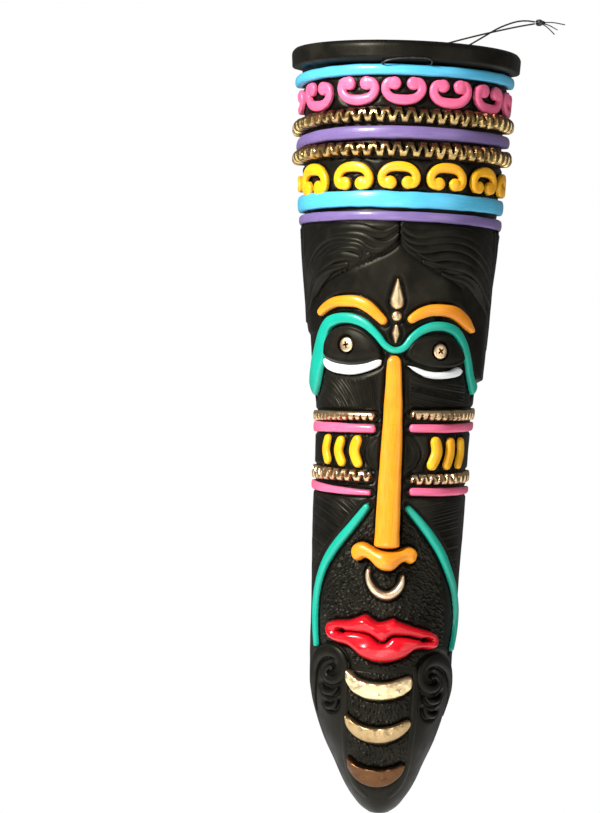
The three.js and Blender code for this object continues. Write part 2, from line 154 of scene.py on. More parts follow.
def smoothLine(route, fine=12):  # distances along, and the points of a curve through the route
    spots = [np.array(p, float) for p in route]
    last = len(spots) - 1
    curve = []
    for i in range(last):
        a, b, c, d = spots[max(i - 1, 0)], spots[i], spots[i + 1], spots[min(i + 2, last)]
        for t in np.arange(fine) / fine:
            curve.append(0.5 * (2 * b + (c - a) * t + (2 * a - 5 * b + 4 * c - d) * t * t
                                + (3 * b - a - 3 * c + d) * t**3))
    curve.append(spots[last])
    curve = np.array(curve)
    steps = np.linalg.norm(np.diff(curve, axis=0), axis=1)
    return np.concatenate([[0], np.cumsum(steps)]), curve


def alongLine(line, distances):
    return np.column_stack([np.interp(distances, line[0], line[1][:, k]) for k in range(line[1].shape[1])])


def spread(values, shares):  # one value, or several spaced evenly along a coil
    values = np.atleast_1d(np.array(values, float))
    return np.interp(shares, np.linspace(0, 1, len(values)), values)


outlineSpots = []  # where a tool has drawn round each added piece, with its half width
coilMarks = ("crown", "along", "over")  # measures that the paints read
buried = -0.6  # the crown mark of what lies inside the tube
sunk = 3.0  # how deep the hidden side of a piece lies there


def noteOutline(spot, halfWidth):
    outlineSpots.append((*(spot / mm), halfWidth))


def startClay():
    clay = bmesh.new()
    for name in coilMarks:
        clay.verts.layers.float.new(name)
    return clay


def markVert(vert, layers, values):
    for layer, value in zip(layers, values):
        vert[layer] = value


def blankSheet(clay, columns, rows):
    # Two sheets joined at their edges: the upper one shows, the lower one sinks into the tube
    upper = bmesh.ops.create_grid(clay, x_segments=columns, y_segments=rows, size=1)["verts"]
    faces = list({face for vert in upper for face in vert.link_faces})
    made = bmesh.ops.extrude_face_region(clay, geom=faces, use_keep_orig=True)["geom"]
    lower = [vert for vert in made if isinstance(vert, bmesh.types.BMVert)]
    seats = []
    for side, verts in ((1, upper), (0, lower)):
        for vert in verts:
            column = round((vert.co.x + 1) / 2 * columns)
            row = round((vert.co.y + 1) / 2 * rows)
            seats.append((vert, column, row, side))
    return seats


def capStations(length, firstEnd, lastEnd, step):
    turns = np.linspace(0, pi / 2, 6)
    first = [(firstEnd * (1 - cos(t)), sin(t)) for t in turns]
    last = [(length - lastEnd * (1 - cos(t)), sin(t)) for t in turns[::-1]]
    count = max(2, round((length - firstEnd - lastEnd) / step))
    middle = [(s, 1.0) for s in np.linspace(firstEnd, length - lastEnd, count + 1)[1:-1]]
    return np.array(first + middle + last)


# How a hand lays a coil: it drifts sideways and swells as it goes. Ends fall off faster than they narrow.
coilHand = {"driftPace": 0.06, "swellPace": 0.11, "swell": 0.35, "look": 0.3, "endFall": 0.6,
            "longestEnd": 0.4}


def coilStations(length, halfWidth, ends, blunt, step):
    if blunt:
        return np.array([(s, 1.0) for s in np.linspace(0, length, max(2, round(length / step)) + 1)])
    first, last = (min(end, length * coilHand["longestEnd"]) for end in ends or spread(halfWidth, [0, 1]))
    return capStations(length, first, last, step)


def layCoil(clay, route, halfWidth, rise, place=onSkin, across=10, step=0.8, fullness=0.7,
            blunt=False, touch=None, wobble=0.12, outlined=True, ends=None):
    line = smoothLine(toSkin(route, 0.6 * float(np.mean(rise))) if place is onSkin else route)
    length, look = line[0][-1], coilHand["look"]
    reach, share = coilStations(length, halfWidth, ends, blunt, step).T
    spots = alongLine(line, reach)
    ahead = alongLine(line, np.minimum(reach + look, length)) - alongLine(line, np.maximum(reach - look, 0))
    ahead /= np.linalg.norm(ahead, axis=1)[:, None]
    wide, high = (spread(values, reach / length) for values in (halfWidth, rise))
    seed = spots[0]
    for i, s in enumerate(reach):  # a hand never lays a coil quite even
        drift = noise.noise(Vector((s * coilHand["driftPace"], seed[0] * 0.37, seed[1] * 0.29))) * wobble
        spots[i] += np.array((-ahead[i][1], ahead[i][0])) * drift
        swell = noise.noise(Vector((s * coilHand["swellPace"], seed[1] * 0.41, 7.3)))
        wide[i] *= 1 + coilHand["swell"] * wobble * swell
    layers = [clay.verts.layers.float[name] for name in coilMarks]
    for vert, i, row, side in blankSheet(clay, len(reach) - 1, across):
        lean = (2 * row / across - 1) * pi / 2
        crown = max(cos(lean), 0) ** fullness
        off = sin(lean) * wide[i] * share[i]
        lift = high[i] * share[i] ** coilHand["endFall"] * crown
        if touch and side:
            lift, crown = touch(reach[i], sin(lean), lift, crown)
        x = spots[i][0] - ahead[i][1] * off
        z = spots[i][1] + ahead[i][0] * off
        vert.co = place(x, z, lift if side else -sunk)
        markVert(vert, layers, (crown * share[i] if side else buried, reach[i], off))
    if outlined:
        for i, spot in enumerate(spots):
            noteOutline(place(*spot, 0), wide[i] * share[i])


def layCoils(name, paint, coils, **shape):  # one piece of several coils: route, half widths, rise
    clay = startClay()
    for route, widths, rise in coils:
        layCoil(clay, route, widths, rise, **shape)
    return finishClay(name, clay, paint)


def layBulb(clay, x, z, radius, rise, segments=32, fullness=0.36):
    crownLayer = clay.verts.layers.float["crown"]
    made = bmesh.ops.create_uvsphere(clay, u_segments=segments, v_segments=segments // 2, radius=1)["verts"]
    for vert in made:
        across, up, out = vert.co
        vert[crownLayer] = max(out, 0) ** 0.6
        lift = rise * max(out, 0) ** fullness if out > 0 else sunk * out
        vert.co = onBand(x + radius * across, z + radius * up, lift)
    noteOutline(onBand(x, z, 0), radius)


edgeStep = 0.3  # how finely an edge is measured


def edgeTree(edges):
    spots = []
    for edge in edges:
        line = smoothLine(edge)
        spots.extend(alongLine(line, np.arange(0, line[0][-1] + edgeStep, edgeStep)))
    tree = kdtree.KDTree(len(spots))
    for i, spot in enumerate(spots):
        tree.insert((*spot, 0), i)
    tree.balance()
    return tree, spots


def layShape(clay, top, bottom, liftAt, columns, rows):
    # A pressed shape between two edges; liftAt gets x, z and the distance to the nearest edge
    edges = []
    for edge in (top, bottom):
        curve = smoothLine(edge)[1]
        edges.append((np.maximum.accumulate(curve[:, 0]), curve[:, 1]))
    tree, spots = edgeTree([top, bottom])
    first, last = top[0][0], top[-1][0]
    layers = [clay.verts.layers.float[name] for name in coilMarks]
    for vert, column, row, side in blankSheet(clay, columns, rows):
        x = first + (last - first) * (1 - cos(pi * column / columns)) / 2
        high, low = (np.interp(x, *edge) for edge in edges)
        z = low + (high - low) * (1 - cos(pi * row / rows)) / 2
        inside = tree.find((x, z, 0))[2] if 0 < row < rows and 0 < column < columns else 0
        lift, crown = liftAt(x, z, inside)
        vert.co = onFace(x, z, lift if side else -sunk)
        markVert(vert, layers, (crown if side else buried, x, z))
    for x, z in spots[::3]:
        noteOutline(onFace(x, z, 0), 0.1)

def roundEdge(distance, radius):
    short = 1 - min(max(distance / radius, 0), 1)
    return sqrt(1 - short * short)


def pillow(inside, steep, broad):  # rises fast at the edge, then slowly to the middle
    return 0.62 * roundEdge(inside, steep) + 0.38 * roundEdge(inside, broad)


def markSharp(clay, limit=52):
    for edge in clay.edges:
        edge.smooth = edge.calc_face_angle(0) < radians(limit)
    for face in clay.faces:
        face.smooth = True


def linkPiece(name, data, paintNames):
    piece = addObject(name, data)
    for paintName in paintNames:
        data.materials.append(paints[paintName])
    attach(piece, body)
    return piece


def trimAtWall(clay):  # nothing passes the wall that the mask hangs on
    plane = -tube["wallGap"] * mm
    if max(vert.co.y for vert in clay.verts) > plane:
        bmesh.ops.bisect_plane(clay, geom=clay.verts[:] + clay.edges[:] + clay.faces[:], dist=1e-7,
                               plane_co=(0, plane, 0), plane_no=(0, 1, 0), clear_outer=True)
        bmesh.ops.holes_fill(clay, edges=[edge for edge in clay.edges if edge.is_boundary], sides=0)


def closeUp(clay):
    bmesh.ops.remove_doubles(clay, verts=clay.verts, dist=2e-6)
    bmesh.ops.recalc_face_normals(clay, faces=clay.faces)


def meshOf(name, clay):
    data = bpy.data.meshes.new(name)
    clay.to_mesh(data)
    clay.free()
    return data


def finishClay(name, clay, paint):
    trimAtWall(clay)
    closeUp(clay)
    markSharp(clay)
    return linkPiece(name, meshOf(name, clay), [paint])


def takeIn(piece):  # applies the modifiers of a piece to its mesh
    graph = bpy.context.evaluated_depsgraph_get()
    data = bpy.data.meshes.new_from_object(piece.evaluated_get(graph))
    piece.modifiers.clear()
    old, piece.data = piece.data, data
    bpy.data.meshes.remove(old)
    return data


def kneadClay(piece, rise, grain=0.38, ease=5):
    # Presses the coils of a piece into one, and measures them again for the paint
    knead = piece.modifiers.new("knead", "REMESH")
    knead.mode, knead.voxel_size = "VOXEL", grain * mm
    even = piece.modifiers.new("even", "SMOOTH")
    even.factor, even.iterations = 0.5, ease
    data = takeIn(piece)
    clay = bmesh.new()
    clay.from_mesh(data)
    trimAtWall(clay)
    clay.to_mesh(data)
    clay.free()
    spots = np.empty(len(data.vertices) * 3)
    data.vertices.foreach_get("co", spots)
    x, y, z = spots.reshape(-1, 3).T / mm
    z = z + tube["originHeight"]
    wide, deep = tableAt(z)[:2]
    lift = (np.sqrt((x / wide) ** 2 + (y / deep) ** 2) - 1) * (wide + deep) / 2
    for name, values in zip(coilMarks, (lift / rise, np.arctan2(x, -y) * bandRadius, z)):
        mark = data.attributes.get(name) or data.attributes.new(name, "FLOAT", "POINT")
        mark.data.foreach_set("value", values.astype(np.float32))
    data.shade_smooth()


def carve(piece, cutter, solver="MANIFOLD"):
    cut = piece.modifiers.new("carve", "BOOLEAN")
    cut.operation, cut.solver, cut.object, cut.use_self = "DIFFERENCE", solver, cutter, solver == "EXACT"
    takeIn(piece)
    bpy.data.objects.remove(cutter)


def toolObject(name, clay):
    closeUp(clay)
    return addObject(name, meshOf(name, clay))


# Paints. Each is a small node tree made by the same few steps.
def startPaint(name):
    paint = bpy.data.materials.new(name)
    paint.use_nodes = True
    tree = paint.node_tree
    shader = tree.nodes["Principled BSDF"]
    coords = tree.nodes.new("ShaderNodeTexCoord").outputs["Object"]
    return paint, tree, shader, coords


def plug(tree, node, inputs):  # each input takes a link or a plain value
    for key, value in inputs.items():
        if isinstance(value, bpy.types.NodeSocket):
            tree.links.new(value, node.inputs[key])
        else:
            node.inputs[key].default_value = value


def join(tree, kind, settings=None, **inputs):  # i0, i1 and so on name an input by its number
    node = tree.nodes.new(kind)
    for key, value in (settings or {}).items():
        setattr(node, key, value)
    plug(tree, node, {int(key[1:]) if key[1:].isdigit() else key: value for key, value in inputs.items()})
    return node


def speckle(tree, vector, scale, detail=3.0, roughness=0.6):
    node = join(tree, "ShaderNodeTexNoise", Vector=vector, Scale=scale, Detail=detail, Roughness=roughness)
    return node.outputs["Fac"]


def remap(tree, value, low, high, toLow=0.0, toHigh=1.0):
    return join(tree, "ShaderNodeMapRange", {"interpolation_type": "SMOOTHSTEP"}, i0=value, i1=low, i2=high,
                i3=toLow, i4=toHigh).outputs[0]


def blendColour(tree, factor, first, second):
    return join(tree, "ShaderNodeMix", {"data_type": "RGBA"}, i0=factor, i6=first, i7=second).outputs[2]


def combine(tree, kind, first, second):
    return join(tree, "ShaderNodeMath", {"operation": kind}, i0=first, i1=second).outputs[0]


def surfaceMark(tree, name):
    return join(tree, "ShaderNodeAttribute", {"attribute_name": name}).outputs["Fac"]


def bump(tree, height, strength, distance, under=None):
    node = join(tree, "ShaderNodeBump", Height=height, Strength=strength, Distance=distance)
    if under is not None:
        plug(tree, node, {"Normal": under})
    return node.outputs[0]


# The groove colour is painted shade: near-black laid into grooves, cut lines and texture troughs.
clays = {"black": (0.0042, 0.0037, 0.0027, 1), "dusty": (0.0135, 0.012, 0.0085, 1),
         "red": (0.33, 0.115, 0.055, 1), "grooveAndShade": (0.002, 0.0018, 0.0014, 1),
         "bare": (0.24, 0.085, 0.045, 1), "pale": (0.42, 0.17, 0.085, 1), "sand": (0.5, 0.27, 0.16, 1),
         "topShadeBrown": (0.17, 0.045, 0.02, 1)}
metals = {"brass": (0.84, 0.58, 0.33, 1), "brightBrass": (0.97, 0.76, 0.50, 1),
          "recessShade": (0.05, 0.022, 0.01, 1)}
nylon = ((0.008, 0.007, 0.007, 1), (0.03, 0.026, 0.022, 1))


def strokes(tree):  # brush marks that run along a coil
    vector = join(tree, "ShaderNodeCombineXYZ", i0=surfaceMark(tree, "along"),
                  i1=surfaceMark(tree, "over")).outputs[0]
    stretched = join(tree, "ShaderNodeMapping", i0=vector, i3=(0.07, 1.6, 1)).outputs[0]
    return join(tree, "ShaderNodeTexNoise", Vector=stretched, Scale=1.0, Detail=2.0).outputs["Fac"]


def overClay(tree, coords, scale, foot, soft):  # the ragged foot of a painted coil shows the black clay
    ragged = combine(tree, "ADD", surfaceMark(tree, "crown"),
                     combine(tree, "MULTIPLY", speckle(tree, coords, scale), 0.3))
    return remap(tree, ragged, foot, foot + soft)


def enamel(name, colour, shade, roughness=0.3, foot=0.1):
    paint, tree, shader, coords = startPaint(name)
    brushed = strokes(tree)
    tone = combine(tree, "MULTIPLY", speckle(tree, coords, 45.0), brushed)
    body = blendColour(tree, remap(tree, tone, 0.12, 0.42), (*shade, 1), (*colour, 1))
    covered = overClay(tree, coords, 420.0, foot + 0.06, 0.11)
    ripple = bump(tree, brushed, 0.25, 0.0004)
    plug(tree, shader, {
        "Base Color": blendColour(tree, covered, clays["black"], body),
        "Roughness": remap(tree, speckle(tree, coords, 160.0), 0.3, 0.7, roughness, roughness + 0.14),
        "Normal": bump(tree, speckle(tree, coords, 500.0), 0.12, 0.0003, ripple),
        "Specular IOR Level": 0.34, "Coat Weight": 0.25, "Coat Roughness": 0.12})
    return paint


def gilding(name, bright, worn, roughness=0.3, dent=180.0, foot=0.1, topShade=0.0):
    paint, tree, shader, coords = startPaint(name)
    cloud = speckle(tree, coords, 130.0, 4.0)
    # The worn colour comes up at random and where the crown mark is low, at a coil's foot and in its notches:
    # random wear, with painted shade in the low parts.
    height = combine(tree, "MULTIPLY", surfaceMark(tree, "crown"), 0.25)
    rubbed = remap(tree, combine(tree, "ADD", cloud, height), 0.42, 0.72)
    body = blendColour(tree, rubbed, (*worn, 1), (*bright, 1))
    if topShade:  # painted shade: the upper side, which faces up, is painted a darker red-brown
        upper = remap(tree, surfaceMark(tree, "over"), 0.2, 3.2, 0.0, topShade)
        body = blendColour(tree, upper, body, clays["topShadeBrown"])
    covered = overClay(tree, coords, 600.0, foot + 0.08, 0.12)
    dents = join(tree, "ShaderNodeTexVoronoi", {"feature": "SMOOTH_F1"}, Vector=coords, Scale=dent)
    hammered = bump(tree, dents.outputs["Distance"], 0.35, 0.0009)
    plug(tree, shader, {
        "Base Color": blendColour(tree, covered, clays["black"], body),
        "Metallic": remap(tree, covered, 0.0, 1.0, 0.0, 0.95),
        "Roughness": remap(tree, cloud, 0.3, 0.7, roughness + 0.16, roughness),
        "Normal": bump(tree, speckle(tree, coords, 900.0), 0.2, 0.0003, hammered)})
    return paint


def blackEnamel(name):
    paint, tree, shader, coords = startPaint(name)
    worn = remap(tree, speckle(tree, coords, 38.0, 4.0), 0.45, 0.75)
    # Painted shade: the black is darkened further in the grooves round added pieces, along cut lines and in
    # texture troughs.
    grooveAndShade = remap(tree, surfaceMark(tree, "grooveAndShade"), 0.25, 0.8)
    body = blendColour(tree, grooveAndShade, blendColour(tree, worn, clays["black"], clays["dusty"]), clays["grooveAndShade"])
    # Rubbed through to the red clay along the cut edges that touch the wall
    toWall = join(tree, "ShaderNodeSeparateXYZ", i0=coords).outputs[1]
    uneven = combine(tree, "MULTIPLY", speckle(tree, coords, 240.0), 0.003)
    rubbed = remap(tree, combine(tree, "ADD", toWall, uneven), 0.0004, 0.0016)
    plug(tree, shader, {
        "Base Color": blendColour(tree, rubbed, body, clays["red"]),
        "Roughness": remap(tree, speckle(tree, coords, 90.0), 0.3, 0.7, 0.33, 0.46),
        "Normal": bump(tree, speckle(tree, coords, 700.0, 4.0), 0.16, 0.0004),
        "Specular IOR Level": 0.15, "Specular Tint": (1, 0.92, 0.7, 1)})
    return paint


def bareTerracotta(name):
    paint, tree, shader, coords = startPaint(name)
    cloud = speckle(tree, coords, 30.0, 5.0)
    grit = speckle(tree, coords, 1100.0, 2.0)
    body = blendColour(tree, remap(tree, cloud, 0.3, 0.7), clays["bare"], clays["pale"])
    rings = join(tree, "ShaderNodeMapping", i0=coords, i3=(4, 4, 420)).outputs[0]
    thrown = bump(tree, speckle(tree, rings, 1.0, 2.0), 0.5, 0.0008)
    plug(tree, shader, {
        "Base Color": blendColour(tree, remap(tree, grit, 0.6, 0.72), body, clays["sand"]),
        "Roughness": remap(tree, cloud, 0.2, 0.8, 0.75, 0.92),
        "Normal": bump(tree, grit, 0.4, 0.0005, thrown)})
    return paint


def screwBrass(name):
    paint, tree, shader, coords = startPaint(name)
    cloud = speckle(tree, coords, 110.0, 4.0)
    plate = blendColour(tree, remap(tree, cloud, 0.35, 0.7), metals["brass"], metals["brightBrass"])
    # Painted shade: the cross recess is painted a dark brown.
    recessShaded = remap(tree, surfaceMark(tree, "recess"), 0.2, 0.8)
    plug(tree, shader, {
        "Base Color": blendColour(tree, recessShaded, plate, metals["recessShade"]),
        "Roughness": remap(tree, cloud, 0.3, 0.7, 0.42, 0.3),
        "Normal": bump(tree, speckle(tree, coords, 2500.0), 0.15, 0.0001),
        "Metallic": 1.0})
    return paint


def blackNylon(name):
    paint, tree, shader, coords = startPaint(name)
    cloud = speckle(tree, coords, 400.0, 3.0)
    plug(tree, shader, {
        "Base Color": blendColour(tree, remap(tree, cloud, 0.4, 0.7), *nylon),
        "Roughness": remap(tree, cloud, 0.3, 0.7, 0.25, 0.4),
        "Normal": bump(tree, cloud, 0.2, 0.0001)})
    return paint


paints = {
    "black": blackEnamel("satinBlackEnamel"),
    "clay": bareTerracotta("bareTerracotta"),
    "blue": enamel("skyBlueEnamel", (0.085, 0.46, 0.68), (0.065, 0.39, 0.60)),
    "purple": enamel("lavenderEnamel", (0.185, 0.125, 0.30), (0.15, 0.10, 0.26)),
    "pink": enamel("hotPinkEnamel", (0.82, 0.145, 0.275), (0.74, 0.105, 0.22)),
    "yellow": enamel("goldenYellowEnamel", (0.87, 0.48, 0.007), (0.82, 0.34, 0.006)),
    "orange": enamel("orangeEnamel", (0.82, 0.315, 0.012), (0.74, 0.23, 0.008), 0.26),
    "teal": enamel("turquoiseEnamel", (0.003, 0.37, 0.26), (0.002, 0.31, 0.215)),
    "white": enamel("whiteEnamel", (0.85, 0.86, 0.86), (0.72, 0.74, 0.74)),
    "red": enamel("lipRedEnamel", (0.57, 0.003, 0.012), (0.46, 0.002, 0.008), 0.17, 0.08),
    "gold": gilding("goldPaint", (0.66, 0.48, 0.27), (0.28, 0.13, 0.06)),
    "paleGold": gilding("paleGold", (0.82, 0.66, 0.44), (0.45, 0.28, 0.17), 0.26, 300.0),
    "ropeGold": gilding("ropeGold", (0.52, 0.37, 0.15), (0.11, 0.05, 0.018), 0.18, 260.0, 0.16, 0.85),
    "cheekGold": gilding("cheekGold", (0.66, 0.48, 0.27), (0.17, 0.085, 0.035), 0.22, 300.0, 0.14),
    # The three chin crescents share one hammered gold, painted darker for each lower crescent: painted light
    # and shade for how far each one faces down.
    "hammered": gilding("hammeredGold", (0.78, 0.62, 0.35), (0.42, 0.26, 0.12), 0.28, 380.0),
    "halfShadedGold": gilding("halfShadedGold", (0.44, 0.305, 0.15), (0.16, 0.08, 0.036), 0.28, 420.0),
    "shadedGold": gilding("shadedGold", (0.13, 0.06, 0.026), (0.04, 0.018, 0.009), 0.26, 420.0),
    "brass": screwBrass("brassPlate"),
    "nylon": blackNylon("blackNylon"),
}
print("paints mixed")

# The hanging line: routes as in the solid, x, y and height
hangingLine = {
    "radius": 0.5,
    "front": [(-10.7, -49, 441.3), (-12.4, -57, 441.2), (-13.9, -64, 440.9), (-13.7, -67.9, 441.3),
              (-9.5, -69.4, 442.7), (-2.5, -70.2, 443.9), (6, -70, 444.3), (12.4, -69.2, 444.1),
              (14.9, -67.8, 442.9), (14.2, -64, 441), (12.4, -57, 441.2), (10.7, -49, 441.3)],
    "left": [(-10.6, -48.5, 441.4), (-7, -39, 444), (4, -29, 451), (22, -23, 458.3), (38, -17.5, 463.8),
             (52, -12.5, 468.2), (66, -8, 472.2), (75.9, -5.2, 474.6)],
    "right": [(10.6, -48.5, 441.4), (17, -39, 446), (32, -29, 454.8), (44, -21, 463), (54, -14.5, 470),
              (64, -9.5, 474.7), (70.5, -6.6, 476), (75.9, -4.9, 475.8)],
    "knot": (79, -4.6, 475.4), "knotSize": (0.95, 0.8, 0.55), "knotTurn": 1.9,
    "tailEnds": [(94, -5, 474.6), (89.5, -6.5, 471.2), (88, -4.6, 468.6)], "tailRadius": 0.35,
}


def inFrame(x, y, z):
    return Vector((x, y, z - tube["originHeight"])) * mm


def addStrand(shape, route, points, radius=1.0):
    line = smoothLine(route)
    spots = alongLine(line, np.linspace(0, line[0][-1], points))
    spline = shape.splines.new("POLY")
    spline.points.add(points - 1)
    for point, spot in zip(spline.points, spots):
        point.co = (*inFrame(*spot), 1)
        point.radius = radius
    return line[0][-1] * mm


def newLine(name, thickness):
    shape = bpy.data.curves.new(name, "CURVE")
    shape.dimensions = "3D"
    shape.bevel_depth = thickness * mm
    shape.bevel_resolution = 3
    shape.use_fill_caps = True
    return shape


def tieKnot():
    radius = hangingLine["radius"]
    shape = newLine("lineKnot", radius)
    centre = np.array(hangingLine["knot"])
    across, deep, tall = hangingLine["knotSize"]
    turns = np.linspace(0, 2 * pi, 49)[:-1]
    spline = shape.splines.new("POLY")
    spline.points.add(len(turns) - 1)
    spline.use_cyclic_u = True
    for point, t in zip(spline.points, turns):  # a pulled-down overhand knot
        swell = 2 + cos(3 * t)
        spot = centre + np.array((swell * cos(2 * t) * across, sin(3 * t) * deep, swell * sin(2 * t) * tall))
        point.co = (*inFrame(*spot), 1)
    for end in hangingLine["tailEnds"]:
        bend = ((centre[0] + end[0]) / 2, centre[1], (centre[2] + end[2]) / 2 + 0.8)
        addStrand(shape, [centre, bend, end], 8, hangingLine["tailRadius"] / radius)
    turn = hangingLine["knotTurn"]
    for lean in (-0.6, 0.6):  # the pulled-down turns inside it
        route = [(-turn, lean, -0.3), (0, -lean, 0.3), (turn, lean, -0.3)]
        addStrand(shape, [centre + spot for spot in route], 8, 2.2)
    knot = linkPiece("lineKnot", shape, ["nylon"])
    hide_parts("line_knot")
    return knot


def hangLines():
    knot = tieKnot()
    for side, points in (("front", 30), ("left", 24), ("right", 24)):
        shape = newLine(f"hangingLine_{side}", hangingLine["radius"])
        length = addStrand(shape, hangingLine[side], points)
        strand = linkPiece(f"hangingLine_{side}", shape, ["nylon"])
        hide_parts(f"hanging_line_{side}")


hangLines()
print("line hung")

# Bands round the crown
bands = {
    "topBlue": {"z": 437.6, "halfWidth": [3.2, 3.1, 3.1], "rise": [4.4, 3.5, 3.4, 3.4],
                "droop": (3.1, -0.3), "paint": "blue"},
    "middlePurple": {"z": 401.4, "halfWidth": [3.6, 3.8, 3.8, 3.3], "rise": [4.0, 3.6, 3.6, 3.6],
                     "droop": (5.2, -1.0), "paint": "purple"},
    "lowerBlue": {"z": 362.6, "halfWidth": [4.9, 4.7, 4.4], "rise": [3.2, 2.6, 2.6],
                  "droop": (1.3, -0.6), "paint": "blue"},
    "lowerPurple": {"z": 352.9, "halfWidth": [2.8, 2.8, 3.2], "rise": 2.6, "droop": (1.1, 0.4),
                    "paint": "purple"},
}


def bandRoute(z, droop):  # droop at the left end and at the right end
    end = radians(90) * bandRadius
    return [(arc, z + 0.3 - droop[int(arc > 0)] * (arc / end) ** 2) for arc in np.linspace(-end, end, 25)]


def layBands():
    for name, band in bands.items():
        layCoils(name, band["paint"],
         [(bandRoute(band["z"], band["droop"]), band["halfWidth"], band["rise"])],
                 place=onBand, across=12, step=1.6, fullness=0.42, blunt=True, wobble=0.2)


# Gilded ropes with notches cut from above and below in turn
# rows: height, droop
ropes = {"rows": [(411.4, (5.2, -0.6)), (391.6, (2.8, -0.7))], "pitch": 6.9, "cut": 5.6,
         "halfWidths": [4.0, 4.0, 4.2, 4.6, 4.7, 4.5], "rise": [6.5, 5.8, 5.6, 5.6, 5.6],
         "pastMiddle": 0.35, "narrow": 0.05, "widen": 0.21, "uneven": 0.12}


def ropeTouch(pitch, cut, sides=(1, -1), seed=0.0):
    def touch(reach, over, lift, crown):
        for side in sides:
            depth = side * over
            if depth < -ropes["pastMiddle"]:
                continue
            opened = max(0, depth + ropes["pastMiddle"])
            uneven = ropes["uneven"] * noise.noise(Vector((reach * 0.09, seed, side)))
            turn = reach / pitch + (0.0 if side > 0 else 0.5) + uneven
            near = abs(turn - round(turn)) * pitch
            notch = pitch * (ropes["narrow"] + ropes["widen"] * min(1, opened / 1.1))
            share = 1 - min(1, near / notch)
            bite = min(1.0, share * 2.2) * min(1, opened / ropes["pastMiddle"])
            lift -= cut * bite
            crown *= 1 - 0.95 * min(1, bite * 1.4)
        return lift, crown
    return touch


def layRopes():
    clay = startClay()
    for i, (z, droop) in enumerate(ropes["rows"]):
        notches = ropeTouch(ropes["pitch"], ropes["cut"], seed=3.1 * i)
        layCoil(clay, bandRoute(z, droop), ropes["halfWidths"], ropes["rise"], onBand, across=18, step=0.4,
                fullness=0.42, blunt=True, wobble=0.6, touch=notches)
    finishClay("crownRopes", clay, "ropeGold")


# Scrolls: each an arch whose two ends curl in to round bulbs
scrolls = {
    "rows": {  # height, which way up, and each scroll's place round the crown, drop and size
        "pinkScrolls": (426.2, -1, "pink", [
            (-90.5, -3.6, 0.84), (-59, -2.8, 1.03), (-27.9, -0.7, 1.0), (-0.7, -0.4, 0.97), (27.3, -1.0, 1.0),
            (56.3, -1.6, 1.01), (84.5, -2.0, 0.88)]),
        "yellowScrolls": (376.9, 1, "yellow", [
            (-96, -2.8, 0.6), (-63.4, -2.3, 1.13), (-29.9, -0.8, 0.98), (-1.6, 0.0, 0.95), (27.7, 0.3, 0.97),
            (57, 0.2, 0.95), (85, -0.5, 0.85)])},
    "half": [(0, 5.5), (3.6, 5.25), (7.2, 4.1), (9.9, 1.5), (10.8, -1.4), (9.9, -4.3), (7.6, -5.6),
             (6.0, -4.9)],
    "halfWidths": [2.4, 2.6, 2.5, 2.55, 2.7, 3.0, 3.15, 3.0, 2.7, 2.55, 2.5, 2.6, 2.4],
    "rise": 3.0, "bulb": 4.0, "bulbAt": (5.5, -4.4), "sway": 0.06, "bulbSway": 0.08,
}


def layScrolls():
    half = scrolls["half"]
    for name, (height, turn, paint, places) in scrolls["rows"].items():
        clay = startClay()
        for i, (centre, drop, size) in enumerate(places):
            tip = scrolls["sway"] * noise.noise(Vector((i * 1.9, height, 8.5)))

            def spot(x, y):
                return centre + (x - tip * y) * size, height + drop + (turn * y + tip * x) * size

            route = [spot(x, y) for x, y in [(-x, y) for x, y in half[:0:-1]] + half]
            layCoil(clay, route, [w * size for w in scrolls["halfWidths"]], scrolls["rise"], onBand,
                    across=14, step=0.6, fullness=0.34)
            for side in (-1, 1):
                x, y = scrolls["bulbAt"]
                sway = scrolls["bulbSway"] * noise.noise(Vector((i * 2.1, side * 5, height)))
                layBulb(clay, *spot(x * side, y), scrolls["bulb"] * size * (1 + sway), scrolls["rise"] * 1.04)
        kneadClay(finishClay(name, clay, paint), scrolls["rise"])


layBands()
layRopes()
layScrolls()
print("crown laid")

# Brows, the long eye line and the mark on the forehead
forehead = {
    "brows": [
        ([(-6.2, 290.8), (-10.5, 294.9), (-16.8, 300), (-23.5, 303), (-30.7, 303.5), (-37.3, 302.7),
          (-42.7, 299.7), (-46.4, 295.8)], [2.4, 3.1, 3.5, 3.5, 3.3, 3.1, 2.8, 2.2]),
        ([(7.2, 292.3), (12.5, 296.4), (19.8, 299.4), (28, 300), (34.8, 298.7), (40.5, 294.8), (45.8, 288.4)],
         [2.2, 3.2, 3.4, 3.6, 4.0, 3.8, 1.4])],
    "browRise": 3.2,
    "eyeLine": [(-48.6, 251.8), (-47.4, 258.6), (-46, 267.6), (-44.7, 276), (-43.3, 284), (-40.8, 289.8),
                (-36.2, 292.7), (-29.8, 293.6), (-23.6, 292.4), (-17.6, 289.6), (-11.4, 284.2), (-6, 278),
                (-0.4, 275.4), (5.3, 277.4), (10, 283.2), (15.4, 287.6), (22, 290.2), (29.4, 290.3),
                (35.6, 287.9), (39.9, 282.2), (42.6, 275), (44.4, 267.6), (45.7, 261), (48, 253.6)],
    "eyeLineWidths": [6.6, 6.8, 6.4, 5.0, 3.9, 3.3, 3.0, 2.5, 2.0, 1.9, 2.2, 2.5, 2.7, 2.9, 2.9, 2.7, 3.0,
                      4.6],
    "eyeLineRise": [3.4, 4.2, 3.4, 2.8, 2.6, 2.6, 2.6, 2.6, 2.6, 2.8, 3.4],
    "mark": [([(0, 299.2), (0, 305), (0, 311), (0, 317.2)], [3.9, 4.0, 2.4, 0.5], 3.0),
             ([(0, 292.3), (0, 295.3), (0, 298.3)], [2.9, 3.0, 2.9], 2.6),
             ([(0, 279.6), (0, 284.8), (0, 290.6)], [0.5, 2.4, 0.9], 2.6)],
}


